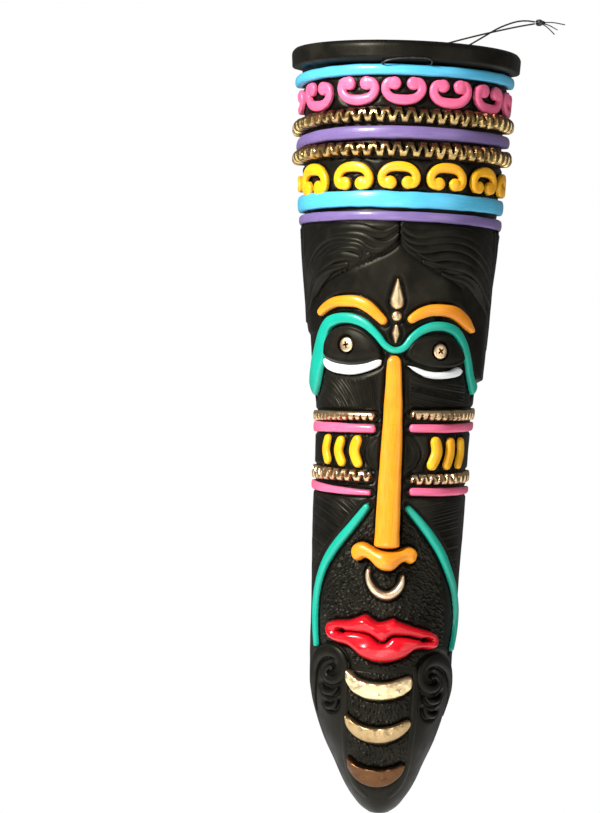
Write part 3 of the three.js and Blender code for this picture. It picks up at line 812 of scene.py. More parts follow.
def layForehead():
    brows = [(route, widths, forehead["browRise"]) for route, widths in forehead["brows"]]
    layCoils("brows", "orange", brows, across=14, step=0.7, fullness=0.5, wobble=0.1)
    layCoils("eyeLine", "teal", [(forehead["eyeLine"], forehead["eyeLineWidths"], forehead["eyeLineRise"])],
             across=14, step=0.8, fullness=0.4, ends=(2.0, 2.0))
    layCoils("foreheadMark", "gold", forehead["mark"], across=16, step=0.4, fullness=0.8, wobble=0.0)


# Eyelids with a screw sunk into each, and the white of the eye below
eyes = {
    "lidRise": 4.2,
    "left": {
        "top": [(-41.2, 272.5), (-40.7, 279.5), (-37.6, 285.4), (-32.1, 288.6), (-25.8, 289.6),
                (-19.4, 287.6), (-13.7, 283.4), (-9.2, 277.8), (-7.3, 272)],
        "bottom": [(-41.2, 272.5), (-38.6, 269.6), (-32.7, 267.4), (-25, 266.5), (-17.3, 267.4),
                   (-10.5, 269.6), (-7.3, 272)],
        "pupil": (-28.5, 278)},
    "right": {
        "top": [(6.2, 272.4), (7.2, 277.6), (11, 282), (17.2, 284.7), (24.9, 285.9), (31.9, 284.3),
                (37.1, 279.2), (40, 272.4)],
        "bottom": [(6.2, 272.4), (9.3, 270.1), (15.7, 267.6), (24.2, 266.3), (31.9, 266.7), (37.8, 269.1),
                   (40, 272.4)],
        "pupil": (26, 276)},
    "whites": [  # upper and lower edge
        ([(-42, 270.7), (-37.6, 268.2), (-31.6, 266.7), (-24.6, 266.3), (-17, 267.4), (-10.6, 269.9),
          (-7.6, 269.4)],
         [(-42, 270.7), (-41.2, 266.6), (-39, 263.5), (-33.8, 261.3), (-24.6, 260.6), (-15.6, 262.8),
          (-8.8, 266.2), (-7.6, 269.4)]),
        ([(7.3, 266.9), (12.3, 266.1), (18, 264.4), (24.2, 263.8), (31.2, 265.0), (36.4, 267.4),
          (39.4, 265.4)],
         [(7.3, 266.9), (12.3, 263.3), (18, 260.6), (24.3, 259.8), (31.4, 260.4), (37.4, 262.2),
          (39.4, 265.4)])],
    "whiteRise": 2.3, "rimRise": 0.7, "lidEdge": 0.35, "lidRound": 9.0,
    "socketRadius": 5.8, "socketFlare": (0.93, 1.16), "socketDepth": 3.2,
    # The screws sit high in the lids, their middles kept close to the solid's
    "seatShare": 0.9, "seatShift": 0.7, "gap": 0.3, "proud": 0.9,
    "headRadius": 4.5, "headHeight": 2.2, "shankRadius": 2.0, "shankLength": 4.4,
    "headRings": [(1.0, 0.4), (0.97, 0.62), (0.88, 0.8), (0.7, 0.92), (0.42, 0.98), (0.16, 1.0)],
    "slot": (5.4, 1.5, 3.0), "slotFoot": 0.55, "slotTurn": {"left": 12, "right": 38},
}


def lidLift(x, z, inside):
    rim = exp(-((inside - 1.3) / 0.9) ** 2) * eyes["rimRise"]
    dome = 0.18 + 0.82 * roundEdge(inside, eyes["lidRound"])
    return eyes["lidRise"] * dome + rim if inside > 0 else eyes["lidEdge"], 1.0


def whiteLift(x, z, inside):
    return eyes["whiteRise"] * roundEdge(inside, 1.8), inside * 2.0


def pointOut(spot):  # turns +Z to the way out of the face at a spot
    outward = Vector((spot.x, spot.y, 0)).normalized()
    return Matrix.Translation(spot) @ outward.to_track_quat("Z", "Y").to_matrix().to_4x4()


def pupilSpot(side):
    x, z = eyes[side]["pupil"]
    lift = eyes["lidRise"] * eyes["seatShare"]
    return onTube(frontAngle(x, z, lift * eyes["seatShift"]), z, lift)


def layEyes():
    clay = startClay()
    sockets = bmesh.new()
    foot, mouth = (eyes["socketRadius"] * flare * mm for flare in eyes["socketFlare"])
    for side in ("left", "right"):
        layShape(clay, eyes[side]["top"], eyes[side]["bottom"], lidLift, 56, 36)
        bmesh.ops.create_cone(sockets, cap_ends=True, segments=56, radius1=foot, radius2=mouth,
                              depth=2 * eyes["socketDepth"] * mm, matrix=pointOut(pupilSpot(side)))
    carve(finishClay("eyelids", clay, "black"), toolObject("socketTool", sockets))
    clay = startClay()
    for top, bottom in eyes["whites"]:
        layShape(clay, top, bottom, whiteLift, 56, 14)
    finishClay("eyeWhites", clay, "white")


def shapeScrew(radius, height, seat, place):
    # A domed head drawn up ring by ring, with a short shank behind
    screw = bmesh.new()
    made = bmesh.ops.create_circle(screw, segments=48, radius=radius, cap_ends=False)["verts"]
    edges = list({edge for vert in made for edge in vert.link_edges})
    for share, level in eyes["headRings"]:
        grown = bmesh.ops.extrude_edge_only(screw, edges=edges)["geom"]
        for vert in (item for item in grown if isinstance(item, bmesh.types.BMVert)):
            flat = Vector((vert.co.x, vert.co.y, 0)).normalized()
            vert.co = flat * radius * share + Vector((0, 0, height * level))
        edges = [item for item in grown if isinstance(item, bmesh.types.BMEdge)]
    bmesh.ops.holes_fill(screw, edges=screw.edges, sides=0)
    bmesh.ops.translate(screw, verts=screw.verts, vec=(0, 0, seat))
    shank, length = eyes["shankRadius"] * mm, eyes["shankLength"] * mm
    bmesh.ops.create_cone(screw, cap_ends=True, segments=24, radius1=shank * 0.8, radius2=shank, depth=length,
                          matrix=Matrix.Translation((0, 0, seat - length / 2 + 0.2 * mm)))
    bmesh.ops.recalc_face_normals(screw, faces=screw.faces)
    bmesh.ops.transform(screw, matrix=place, verts=screw.verts)
    markSharp(screw, 35)
    return screw


def crossTool(side, place):
    cross = bmesh.new()
    for turn in (0, 90):  # the two slots of the recess, narrower at the bottom
        wing = bmesh.ops.create_cube(cross, size=1)["verts"]
        long, wide, tall = eyes["slot"]
        for vert in wing:
            narrow = 1.0 if vert.co.z > 0 else eyes["slotFoot"]
            vert.co = Vector((vert.co.x * long * narrow, vert.co.y * wide * narrow, vert.co.z * tall)) * mm
        spin = Matrix.Rotation(radians(turn + eyes["slotTurn"][side]), 4, "Z")
        bmesh.ops.transform(cross, matrix=spin, verts=wing)
    bmesh.ops.transform(cross, verts=cross.verts, matrix=place)
    return toolObject("crossTool", cross)


def turnScrew(side):
    place = pointOut(pupilSpot(side))
    seat = (eyes["gap"] + eyes["proud"] - eyes["socketDepth"]) * mm
    radius, height = eyes["headRadius"] * mm, eyes["headHeight"] * mm
    name = f"{side}PupilScrew"
    piece = linkPiece(name, meshOf(name, shapeScrew(radius, height, seat, place)), ["brass"])
    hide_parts(f"{side}_pupil_screw")
    top = Matrix.Translation((0, 0, seat + height + 0.1 * mm))
    carve(piece, crossTool(side, place @ top), "EXACT")
    # the recess mark sets where the painted shade goes
    recess = piece.data.attributes.new("recess", "FLOAT", "POINT")  # dark inside the cross
    home = place.inverted()
    for vert, mark in zip(piece.data.vertices, recess.data):
        spot = home @ vert.co
        mark.value = float(seat < spot.z < seat + height * 0.8 and spot.xy.length < radius * 0.75)


layForehead()
layEyes()
turnScrew("left")
turnScrew("right")
print("eyes laid")

# The nose: a long bridge, the bar with its two nostrils, and the ring
nose = {
    "bridge": [(-0.7, 159.9), (-0.6, 190), (-0.1, 230), (-0.4, 272.5)],
    "bridgeWidths": [6.5, 6.3, 5.8, 5.1, 3.7], "bridgeRises": [11.5, 9.5, 7.5, 5.8, 4.6],
    "barTop": [(-20.2, 157.5), (-19.7, 160.4), (-17.9, 162.6), (-14.7, 163.6), (-11.6, 162.9), (-8.0, 161.1),
               (-4.9, 159.6), (0.3, 158.9), (4.7, 159.5), (7.9, 160.9), (10.8, 161.7), (13.9, 161.1),
               (15.8, 159.3), (16.3, 157.1)],
    "barBottom": [(-20.2, 157.5), (-19.5, 154.7), (-17.6, 152.6), (-15.4, 153.0), (-13.1, 154.3),
                  (-10.8, 154.0), (-8.5, 152.1), (-6.0, 149.5), (-2.8, 147.7), (0.9, 147.4), (3.3, 148.1),
                  (5.7, 150.4), (7.9, 152.4), (10.0, 153.0), (12.6, 151.9), (15.1, 153.4), (16.3, 157.1)],
    "armRise": 6.6, "tipRise": 12.6, "tipAt": -1.2, "tipWidth": 9.0, "lower": 0.5,
    "ring": [(-10.7, 148.4), (-11.4, 144.9), (-10.7, 141.2), (-8.6, 137.4), (-5.6, 134.5), (-1.9, 132.8),
             (1.4, 132.8), (4.6, 134.3), (7.2, 137.0), (8.8, 140.3), (9.2, 145.5)],
    "ringWidths": [1.3, 1.6, 2.0, 2.4, 2.6, 2.6, 2.3, 1.9, 1.1], "ringRise": 3.6,
}


def barLift(x, z, inside):
    tip = exp(-(((x - nose["tipAt"]) / nose["tipWidth"]) ** 2))
    full = nose["armRise"] + (nose["tipRise"] - nose["armRise"]) * tip
    return full * pillow(inside, 1.6, 5.6), min(1, inside * 1.5)


def layNose():
    top, bottom, ring = ([(x, z - nose["lower"]) for x, z in nose[edge]]
                         for edge in ("barTop", "barBottom", "ring"))
    clay = startClay()
    layCoil(clay, nose["bridge"], nose["bridgeWidths"], nose["bridgeRises"], across=18, step=1.6,
            fullness=0.3, wobble=0.1, ends=(2.2, 3.7))
    layShape(clay, top, bottom, barLift, 96, 40)
    finishClay("nose", clay, "orange")
    layCoils("noseRing", "paleGold", [(ring, nose["ringWidths"], nose["ringRise"])], across=14, step=0.5,
             fullness=0.8, wobble=0.0)


# The cheeks: ropes, pink coils, beans, and the long line down to the jaw
cheeks = {
    "outerAngle": radians(88),
    # side, start beside the nose, height there, height at the wall, half widths, notch pitch, notched edges
    "ropes": [
        (-1, 9.9, 236.6, 235.8, [2.4, 2.6, 2.8, 3.1, 3.2], 4.4, (-1,)),
        (1, 9.9, 238.2, 240.4, [2.7, 3.0, 3.2, 3.3, 3.6], 4.4, (-1,)),
        (-1, 10.6, 201.5, 203.0, [3.2, 3.4, 3.7, 3.9, 4.0], 6.2, (1, -1)),
        (1, 10.6, 200.6, 203.6, [3.0, 3.1, 3.2, 3.4, 3.4], 6.0, (1, -1))],
    "ropeRise": [3.8, 3.9, 3.7, 3.0, 1.4], "ropeCut": 3.6,
    "pinks": [  # side, start, height there, height at the wall, half widths
        (-1, 9.6, 229.4, 229.4, [2.3, 2.7, 3.0, 3.1]), (1, 9.6, 230.5, 233.2, [2.3, 2.6, 2.6, 2.5]),
        (-1, 11.0, 191.9, 195.3, [1.4, 2.1, 2.5, 2.7]), (1, 10.8, 193.5, 195.1, [2.3, 2.5, 2.4, 2.0])],
    "pinkRise": [2.9, 2.9, 2.4, 1.4],
    "beans": [  # top, middle and foot, and half width
        ([(-37.8, 225.1), (-39.3, 216.3), (-37.3, 207.6)], 2.9),
        ([(-29.6, 224.4), (-31.7, 215.8), (-28.4, 206.9)], 3.1),
        ([(-19.6, 225.1), (-22.3, 216.2), (-18.7, 206.5)], 3.2),
        ([(25.2, 226.0), (27.0, 216.6), (23.0, 206.5)], 3.6),
        ([(34.7, 226.0), (34.9, 216.5), (32.3, 206.9)], 3.3),
        ([(40.8, 226.2), (41.2, 216.7), (39.3, 207.5)], 3.0)],
    "beanShape": [0.85, 0.97, 1.0, 0.97, 0.85], "beanRise": 2.8,
    "leftLine": [(-12.6, 185.2), (-18.0, 177.6), (-23.3, 170.6), (-28.6, 163.9), (-33.6, 156.5),
                 (-37.6, 148.8), (-40.3, 140), (-41.9, 131), (-42.4, 122), (-42.1, 112), (-40.8, 99)],
    "rightLine": [(9.6, 185.0), (15.1, 179.4), (20.8, 173.2), (26.6, 166), (32.2, 157.3), (36.6, 147.4),
                  (39.9, 138), (41.6, 129), (42.3, 120), (41.8, 110), (40, 99)],
    "lineWidths": [1.9, 2.5, 2.8, 2.9, 2.8, 2.7, 2.5, 2.2, 1.4], "lineRise": 2.8,
}


def cheekRoute(side, inner, z, outerZ):
    # From beside the nose round to the wall, as distance round the tube
    first, last = asin(inner / section(z)[0]), cheeks["outerAngle"]
    return [(side * angle * bandRadius, z + (outerZ - z) * ((angle - first) / (last - first)) ** 1.5)
            for angle in np.linspace(first, last, 12)]


def layCheeks():
    stretch = bandRadius / 50.0  # the cheeks are narrower than the crown, so lengths there are drawn longer
    gilt = startClay()
    for i, (side, inner, z, outerZ, widths, pitch, edges) in enumerate(cheeks["ropes"]):
        notches = ropeTouch(pitch * stretch, cheeks["ropeCut"], [side * s for s in edges], seed=i + 5.0)
        layCoil(gilt, cheekRoute(side, inner, z, outerZ), widths, cheeks["ropeRise"], onBand, across=18,
                step=0.45, fullness=0.45, touch=notches)
    finishClay("cheekRopes", gilt, "cheekGold")
    pinks = [(cheekRoute(*route), widths, cheeks["pinkRise"]) for *route, widths in cheeks["pinks"]]
    layCoils("cheekCoils", "pink", pinks, place=onBand, across=12, step=1.0, fullness=0.5)
    beans = [(route, [width * share for share in cheeks["beanShape"]], cheeks["beanRise"])
             for route, width in cheeks["beans"]]
    layCoils("cheekBeans", "yellow", beans, across=12, step=0.6, fullness=0.5)
    cheekLines = [(cheeks[line], cheeks["lineWidths"], cheeks["lineRise"])
                  for line in ("leftLine", "rightLine")]
    layCoils("cheekLines", "teal", cheekLines, across=10, step=0.8, fullness=0.6)


# The lips: one pressed shape with the mouth cut into it
lips = {
    "top": [(-32.5, 111.2), (-31.4, 114.7), (-28.2, 116.2), (-21, 117), (-17.3, 118.2), (-14, 119.8),
            (-11.8, 120.6), (-9.6, 120.1), (-7.4, 118.4), (-4, 116.7), (-0.8, 117), (2.5, 118.3), (5, 118.9),
            (7.4, 117.5), (13, 115.5), (19.1, 113.5), (25.2, 111.7), (28.3, 109.8), (29.5, 106.6)],
    "bottom": [(-32.5, 111.2), (-31.7, 107.4), (-29.4, 104.7), (-25.5, 103.1), (-20.5, 102.0), (-16.6, 99.4),
               (-13.2, 96.3), (-7.6, 94), (-1.1, 93.2), (5.5, 94.3), (11, 96.5), (14.1, 98.9), (17.3, 101.2),
               (21.7, 101.7), (26.2, 101.2), (28.6, 102.9), (29.5, 106.6)],
    "mouth": [(-26, 110.3), (-20.8, 110.4), (-15.3, 110.4), (-9.8, 109.6), (-6.5, 107.8), (-3.6, 105.5),
              (-1.4, 104.6), (0.8, 105.7), (3.9, 108.6), (8.3, 109), (13.3, 108.6), (18.8, 107.4),
              (24.3, 106.7)],
    "rise": 7.4, "edgeRadius": 3.6, "mouthRadius": 3.4, "mouthDepth": 4.4,
    "lobes": [(-10.8, 115.6, 1.0), (4.6, 114.4, 0.7), (-1.4, 110.6, 0.9), (-9, 101, 1.3), (6.5, 100.5, 1.0)],
    "holes": [(-23.6, 110.4, 2.1, 1.3), (21.6, 106.9, 2.3, 1.2)],
    "slit": [(-27, 0.2), (-15, 0.15), (-8, 0.4), (-1.5, 0.6), (5, 0.55), (26, 0.6)],
    "lobeWide": 16, "lobeTall": 6,
}


def layLips():
    mouthTree, _ = edgeTree([lips["mouth"]])
    slit = smoothLine(lips["slit"])[1]

    def lipLift(x, z, inside):
        gap = mouthTree.find((x, z, 0))[2]
        gap -= np.interp(x, slit[:, 0], slit[:, 1])
        for holeX, holeZ, wide, high in lips["holes"]:
            out = sqrt(((x - holeX) / wide) ** 2 + ((z - holeZ) / high) ** 2) - 1
            gap = min(gap, out * high)
        roll = roundEdge(max(gap, 0), lips["mouthRadius"])
        lift = lips["rise"] * roundEdge(inside, lips["edgeRadius"]) * (0.45 + 0.55 * roll)
        for lobeX, lobeZ, high in lips["lobes"]:
            apart = (x - lobeX) ** 2 / lips["lobeWide"] + (z - lobeZ) ** 2 / lips["lobeTall"]
            lift += high * exp(-apart) * min(1, max(0, gap))
        if gap < 0.25:
            lift -= lips["mouthDepth"] * min(1, (0.25 - gap) / 0.5) * roundEdge(inside, 2)
        crown = 1.0 if gap > 0.1 else max(buried, gap * 3)
        return max(lift, -1.5), min(crown, inside * 2.5 + 0.1)

    clay = startClay()
    layShape(clay, lips["top"], lips["bottom"], lipLift, 150, 64)
    finishClay("lips", clay, "red")


# The chin: three gilded crescents, and a rolled scroll at each jaw
chin = {
    # each lower crescent takes a darker copy of the top one's gold: painted shade
    "crescents": [  # upper edge, lower edge, paint
        ([(-21.6, 86.4), (-20.8, 87.8), (-18.7, 86.7), (-14.4, 83.2), (-9.7, 81.7), (-5.8, 81.1),
          (-1.2, 81.0), (2.6, 81.4), (6.4, 82.3), (10.9, 84.0), (14.7, 85.1), (16.3, 84.2), (16.9, 81.6)],
         [(-21.6, 86.4), (-21.4, 82.2), (-19.9, 78.4), (-16.7, 74.7), (-11.6, 71.8), (-7.0, 70.6),
          (-2.4, 70.5), (3.0, 71.0), (8.3, 72.4), (12.8, 74.7), (15.9, 77.9), (16.9, 81.6)], "hammered"),
        ([(-21.0, 59.6), (-20.3, 61.0), (-18.5, 59.7), (-14.2, 56.8), (-9.5, 54.9), (-4.9, 54.2),
          (-0.3, 54.2), (5.1, 55.2), (9.6, 56.9), (13.4, 58.7), (15.7, 59.2), (16.8, 57.6)],
         [(-21.0, 59.6), (-20.1, 55.0), (-17.4, 50.5), (-13.0, 47.0), (-7.6, 44.9), (-2.2, 44.4), (3.2, 45.1),
          (8.4, 47.2), (12.9, 50.5), (15.9, 54.4), (16.8, 57.6)], "halfShadedGold"),
        ([(-18.5, 33.8), (-17.9, 35.0), (-16.1, 33.3), (-12.5, 30.8), (-7.8, 29.2), (-3.2, 28.8), (0.7, 28.8),
          (4.5, 29.5), (9.1, 30.8), (12.4, 32.3), (13.9, 31.4)],
         [(-18.5, 33.8), (-18.0, 28.6), (-15.7, 24.5), (-12.1, 20.8), (-7.4, 18.2), (-2.0, 17.3), (3.4, 18.3),
          (7.9, 20.9), (11.6, 25.1), (13.4, 29.0), (13.9, 31.4)], "shadedGold")],
    "crescentRise": 4.0,
    "jaws": [  # coils at the left jaw, mirrored for the right one; x off the midline, height, half widths
        ([(40.4, 62), (42.0, 74), (42.0, 86), (39.4, 94), (33.6, 98), (27.6, 96.4), (24.2, 90.8),
          (24.8, 84.2), (29, 80.4), (33.4, 81.4), (34.8, 85), (32.6, 88), (30, 87)],
         [0.3, 1.6, 3.2, 4.0, 4.0, 3.8, 3.4, 3.0, 2.6, 2.0, 1.2]),
        ([(37.4, 77.4), (34.8, 73.4), (29.6, 73), (26.4, 76.6)], [0.6, 1.5, 1.6, 0.5]),
        ([(35.4, 66.6), (32.4, 64), (28.4, 65.2), (26.4, 69)], [0.5, 1.4, 1.6, 0.5])],
    "jawRise": [0.3, 1.4, 2.0, 2.0, 2.0, 1.9, 1.7], "rightJawShift": (-1.6, -3.4),
    "ridges": [([(-21.4, 92), (-22.8, 86), (-23, 76), (-22.6, 60), (-21.6, 44), (-19.6, 30), (-14.6, 18),
                 (-7, 10.4)],
                [1.0, 1.5, 1.6, 1.5, 1.5, 1.6, 1.5, 0.8]),
               ([(17.6, 92), (19.2, 86), (19.6, 76), (19, 60), (18, 44), (16.4, 30), (12, 18), (5.4, 10.6)],
                [1.0, 1.5, 1.6, 1.5, 1.5, 1.6, 1.5, 0.8])],
    "ridgeWiden": 1.7, "ridgeRise": [0.4, 1.1, 1.2, 1.1, 1.1, 1.2, 0.9, 0.3],
}


def crescentLift(x, z, inside):
    worn = 0.22 * noise.noise(Vector((x * 0.22, z * 0.22, 4.0)))
    return chin["crescentRise"] * pillow(inside, 1.3, 4.6) * (1 + worn), min(1, 0.1 + inside * 0.9)


def layChin():
    for i, (top, bottom, paint) in enumerate(chin["crescents"]):
        clay = startClay()
        layShape(clay, top, bottom, crescentLift, 72, 28)
        finishClay(f"chinCrescent{i + 1}", clay, paint)
    clay = startClay()
    for side in (-1, 1):
        across, up = chin["rightJawShift"] if side > 0 else (0, 0)
        for route, widths in chin["jaws"]:
            layCoil(clay, [(side * x + across, z + up) for x, z in route], widths, chin["jawRise"], across=14,
                    step=0.8, fullness=0.75)
    for route, widths in chin["ridges"]:
        layCoil(clay, route, [w * chin["ridgeWiden"] for w in widths], chin["ridgeRise"], across=12, step=1.2,
                fullness=1.5, outlined=False)
    finishClay("jawScrolls", clay, "black")


layNose()
layCheeks()
layLips()
layChin()
print("face laid")

# The clay body itself: a fine sheet bent to the tube, raised under the hair and cut by every tool line
clayBody = {
    "columns": 168, "rows": 410, "backRows": 10,
    "rim": {"z": 442.5, "rise": 6.0, "step": 2.2, "round": 3.2},
    "hairline": [(0, 342), (3, 337), (10, 331.5), (18, 327), (31, 322), (43, 318), (50, 309), (54, 297),
                 (60, 284)],
    "hairRise": 2.1, "hairTop": 351, "hairHalf": 57, "hairEdge": (-0.8, 1.4),
    "templeFoot": {"left": 283.5, "right": 258}, "templeArc": (radians(56), radians(76)),
    "leftTemple": [(283.5, 1.0), (289, 1.6), (302, 2.0), (317, 1.9), (346, 1.0)],  # height, rise
    "rightTemple": [(258, 4.2), (282, 3.7), (306, 2.8), (328, 1.2), (351, 0.2)],
    "cuts": [  # lines drawn into the clay: route, depth, half width
        ([(-0.2, 341), (-1, 337), (-3.9, 334), (-8.3, 331.4), (-13.8, 329), (-18.1, 327), (-22.5, 325),
          (-27, 323), (-33, 320.4), (-39, 317), (-44.6, 312), (-48.6, 303), (-50.6, 292)], 1.1, 1.3),
        ([(0.3, 341), (1.4, 337), (4.2, 333.4), (8.4, 330.6), (13.6, 327.4), (19, 324.4), (25, 321.4),
          (31, 318), (38, 313)], 1.0, 1.3),
        ([(0, 350.6), (0, 346), (0, 341)], 1.6, 0.8),
        ([(-11.9, 226), (-15.2, 220.6), (-16.6, 215.4), (-15.2, 210), (-11.8, 205)], 1.4, 1.0),
        ([(-9.9, 224), (-13, 219.6), (-14.2, 215.4), (-13, 211), (-9.8, 207)], 0.9, 0.8),
        ([(11.9, 226), (16, 220.6), (17.6, 215.4), (16, 210), (11.8, 205)], 1.4, 1.0),
        ([(9.9, 224), (13.6, 219.6), (15, 215.4), (13.6, 211), (9.8, 207)], 0.8, 0.8)],
    "uneven": [(0.25, 0.035, 0.0), (0.1, 0.16, 3.0)],  # depth, scale and seed
    "bareBelow": 6.5,  # how far under the skin the bare clay begins
    "grooveAt": 0.75, "grooveDepth": 1.2, "grooveWidth": 0.95, "grooveFade": 1.6,
}


def gapTo(spots, places, widths=None, reach=14.0):
    # Distance from every place to the nearest spot, less that spot's half width
    spots = np.array(spots, np.float32)
    widths = np.zeros(len(spots), np.float32) if widths is None else widths.astype(np.float32)
    gap = np.full(len(places), reach, np.float32)
    order = np.argsort(places[:, 2], kind="stable")
    for start in range(0, len(order), 1200):
        rows = order[start:start + 1200]
        level = places[rows, 2]
        near = (spots[:, 2] > level.min() - reach) & (spots[:, 2] < level.max() + reach)
        if near.any():
            apart = np.sqrt(((places[rows, None, :] - spots[near][None]) ** 2).sum(2)) - widths[near]
            gap[rows] = np.minimum(reach, apart.min(1))
    return gap


def routeSpots(route, step=0.8):
    line = smoothLine(route)
    return [onFace(*spot, 0) / mm for spot in alongLine(line, np.arange(0, line[0][-1] + step, step))]


def smooth(value, low, high):
    share = np.clip((value - low) / (high - low), 0, 1)
    return share * share * (3 - 2 * share)


def fieldNoise(places, scale, seed):
    offset = Vector((seed, 2.7 * seed, 5.1))
    return np.array([noise.noise(Vector(p) * scale + offset) for p in places])


hairline = smoothLine(clayBody["hairline"])[1]


def hairMass(angle, z):
    # The soft mass that the strands lie on: low over the brow, full at the temples
    across = np.abs(np.sin(angle)) * clayBody["hairHalf"]
    lowEdge = np.interp(across, np.maximum.accumulate(hairline[:, 0]), hairline[:, 1])
    top = smooth(clayBody["hairTop"] - z, -1, 1)
    under, over = clayBody["hairEdge"]
    front = clayBody["hairRise"] * smooth(z, lowEdge + under, lowEdge + over)
    isLeft = np.asarray(angle) < 0
    foot = np.where(isLeft, clayBody["templeFoot"]["left"], clayBody["templeFoot"]["right"])
    left, right = (np.interp(z, *np.array(clayBody[name]).T) for name in ("leftTemple", "rightTemple"))
    side = np.where(isLeft, left, right) * smooth(np.abs(angle), *clayBody["templeArc"])
    side *= smooth(z, foot, foot + 3)
    return np.maximum(front, side) * top


def bodyRelief(angle, z, places):
    # Lift in mm, the groove mask of the tool lines and of the moats round added pieces, which also sets the
    # painted shade there, and how far each place is from the added pieces
    lift = sum(depth * fieldNoise(places, scale, seed) for depth, scale, seed in clayBody["uneven"])
    rim = clayBody["rim"]
    up = np.clip((z - rim["z"]) / rim["step"], 0, 1)
    roundTop = np.clip((z - (tube["height"] - rim["round"])) / rim["round"], 0, 1)
    lift += rim["rise"] * np.sqrt(1 - (1 - up) ** 2) * (1 - 0.3 * roundTop**2)
    lift += hairMass(angle, z)
    spots = np.array(outlineSpots)
    gap = gapTo(spots[:, :3], places, spots[:, 3])
    out = gap - clayBody["grooveAt"]
    inner, outer = (np.exp(-((out / clayBody[name]) ** 2)) for name in ("grooveFade", "grooveWidth"))
    grooveAndShade = np.where(out < 0, inner, outer) * (z < rim["z"] - 0.5)
    lift -= clayBody["grooveDepth"] * grooveAndShade
    for route, depth, wide in clayBody["cuts"]:
        cut = np.exp(-((gapTo(routeSpots(route), places) / wide) ** 2))
        lift -= depth * cut
        # the cut lines also take the painted shade
        grooveAndShade = np.maximum(grooveAndShade, 0.9 * cut)
    return lift, grooveAndShade, gap


def sheetPlaces(angle, z):
    wide, deep, left, right = tableAt(z)
    pull = np.where(angle < 0, left, -right) * np.sin(angle) ** 2
    places = np.column_stack([wide * np.sin(angle) + pull, -deep * np.cos(angle), z - tube["originHeight"]])
    return wide, deep, pull, places.astype(np.float32)


def buildBody():
    columns, rows = clayBody["columns"], clayBody["rows"]
    clay = bmesh.new()
    grooveShadeLayer = clay.verts.layers.float.new("grooveAndShade")
    seats = blankSheet(clay, columns, rows)
    upper = [(vert, column, row) for vert, column, row, side in seats if side]
    angle = np.array([tube["edgeAngle"] * (2 * column / columns - 1) for _, column, _ in upper])
    z = np.array([tube["height"] * row / rows for _, _, row in upper])
    wide, deep, pull, places = sheetPlaces(angle, z)
    lift, grooveAndShade, _ = bodyRelief(angle, z, places)
    outX, outY = (wide + lift) * np.sin(angle) + pull, -(deep + lift) * np.cos(angle)
    frontX = {}
    for i, (vert, column, row) in enumerate(upper):
        vert.co = Vector((outX[i], min(outY[i], -0.4), places[i, 2])) * mm
        # the groove mask carries the painted shade to the black paint
        vert[grooveShadeLayer] = grooveAndShade[i]
        frontX[column, row] = vert.co.x
    for vert, column, row, side in seats:
        if not side:  # the flat back
            height = tube["height"] * row / rows - tube["originHeight"]
            vert.co = Vector((frontX[column, row], 0, height * mm))
    bmesh.ops.recalc_face_normals(clay, faces=clay.faces)
    return meshOf("clayBody", clay)


# What is taken out of the body: the hollow with its throwing rings, and two holes for the line
hollow = {"floor": 26, "floorWall": 14, "reach": 24, "above": 9, "behind": 6, "columns": 64, "rows": 130,
          "ringPitch": 7.5, "ringDepth": 0.45, "ringSway": 0.13, "holeX": 13.4, "holeZ": 441.2,
          "holeRadius": 1.3}


def hollowTool():
    clay = bmesh.new()
    columns, rows, floor = (hollow[name] for name in ("columns", "rows", "floor"))
    for vert, column, row, side in blankSheet(clay, columns, rows):
        z = floor + (tube["height"] + hollow["above"] - floor) * row / rows
        risen = float(smooth(z, floor, floor + hollow["reach"]))
        thick = hollow["floorWall"] + (tube["wall"] - hollow["floorWall"]) * risen
        sway = sin(z * hollow["ringSway"])
        thick += hollow["ringDepth"] * risen * sin(2 * pi * z / hollow["ringPitch"] + sway)
        spot = onTube(tube["edgeAngle"] * (2 * column / columns - 1), z, -thick)
        spot.z = (z - tube["originHeight"]) * mm
        vert.co = spot if side else Vector((spot.x, hollow["behind"] * mm, spot.z))
    return toolObject("hollowTool", clay)


def holeTool():
    holes = bmesh.new()
    radius = hollow["holeRadius"] * mm
    for side in (-1, 1):
        spot = onFace(side * hollow["holeX"], hollow["holeZ"], 0)
        bmesh.ops.create_cone(holes, cap_ends=True, segments=32, radius1=radius, radius2=radius, depth=0.04,
                              matrix=pointOut(spot))
    return toolObject("holeTool", holes)


def flattenBack(clay):  # the flat back needs few faces, but none as long as the mask
    rowHeight = tube["height"] / clayBody["rows"]

    def isSeam(edge):
        low, high = ((vert.co.z / mm + tube["originHeight"]) / rowHeight for vert in edge.verts)
        return abs(low - high) < 0.01 and round(low) % clayBody["backRows"] == 0

    flat = [edge for edge in clay.edges
            if all(abs(vert.co.y) < 1e-6 for vert in edge.verts) and not isSeam(edge)]
    bmesh.ops.dissolve_limit(clay, angle_limit=radians(0.5), edges=flat, verts=[])


def isBare(face):  # inside the tube, where no enamel came
    spot = face.calc_center_median() / mm
    wide, deep = section(spot.z + tube["originHeight"])[:2]
    level = sqrt((spot.x / wide) ** 2 + (spot.y / deep) ** 2)
    upright = abs(face.normal.y) + abs(face.normal.x) > 0.3
    return upright and spot.y < -0.05 and level < 1 - clayBody["bareBelow"] / deep


def finishBody():
    piece = linkPiece("clayMask", buildBody(), ["black", "clay"])
    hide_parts("mask_shell")
    carve(piece, hollowTool())
    carve(piece, holeTool())
    clay = bmesh.new()
    clay.from_mesh(piece.data)
    flattenBack(clay)
    for face in clay.faces:
        face.material_index = int(isBare(face))
    markSharp(clay)
    clay.to_mesh(piece.data)
    clay.free()


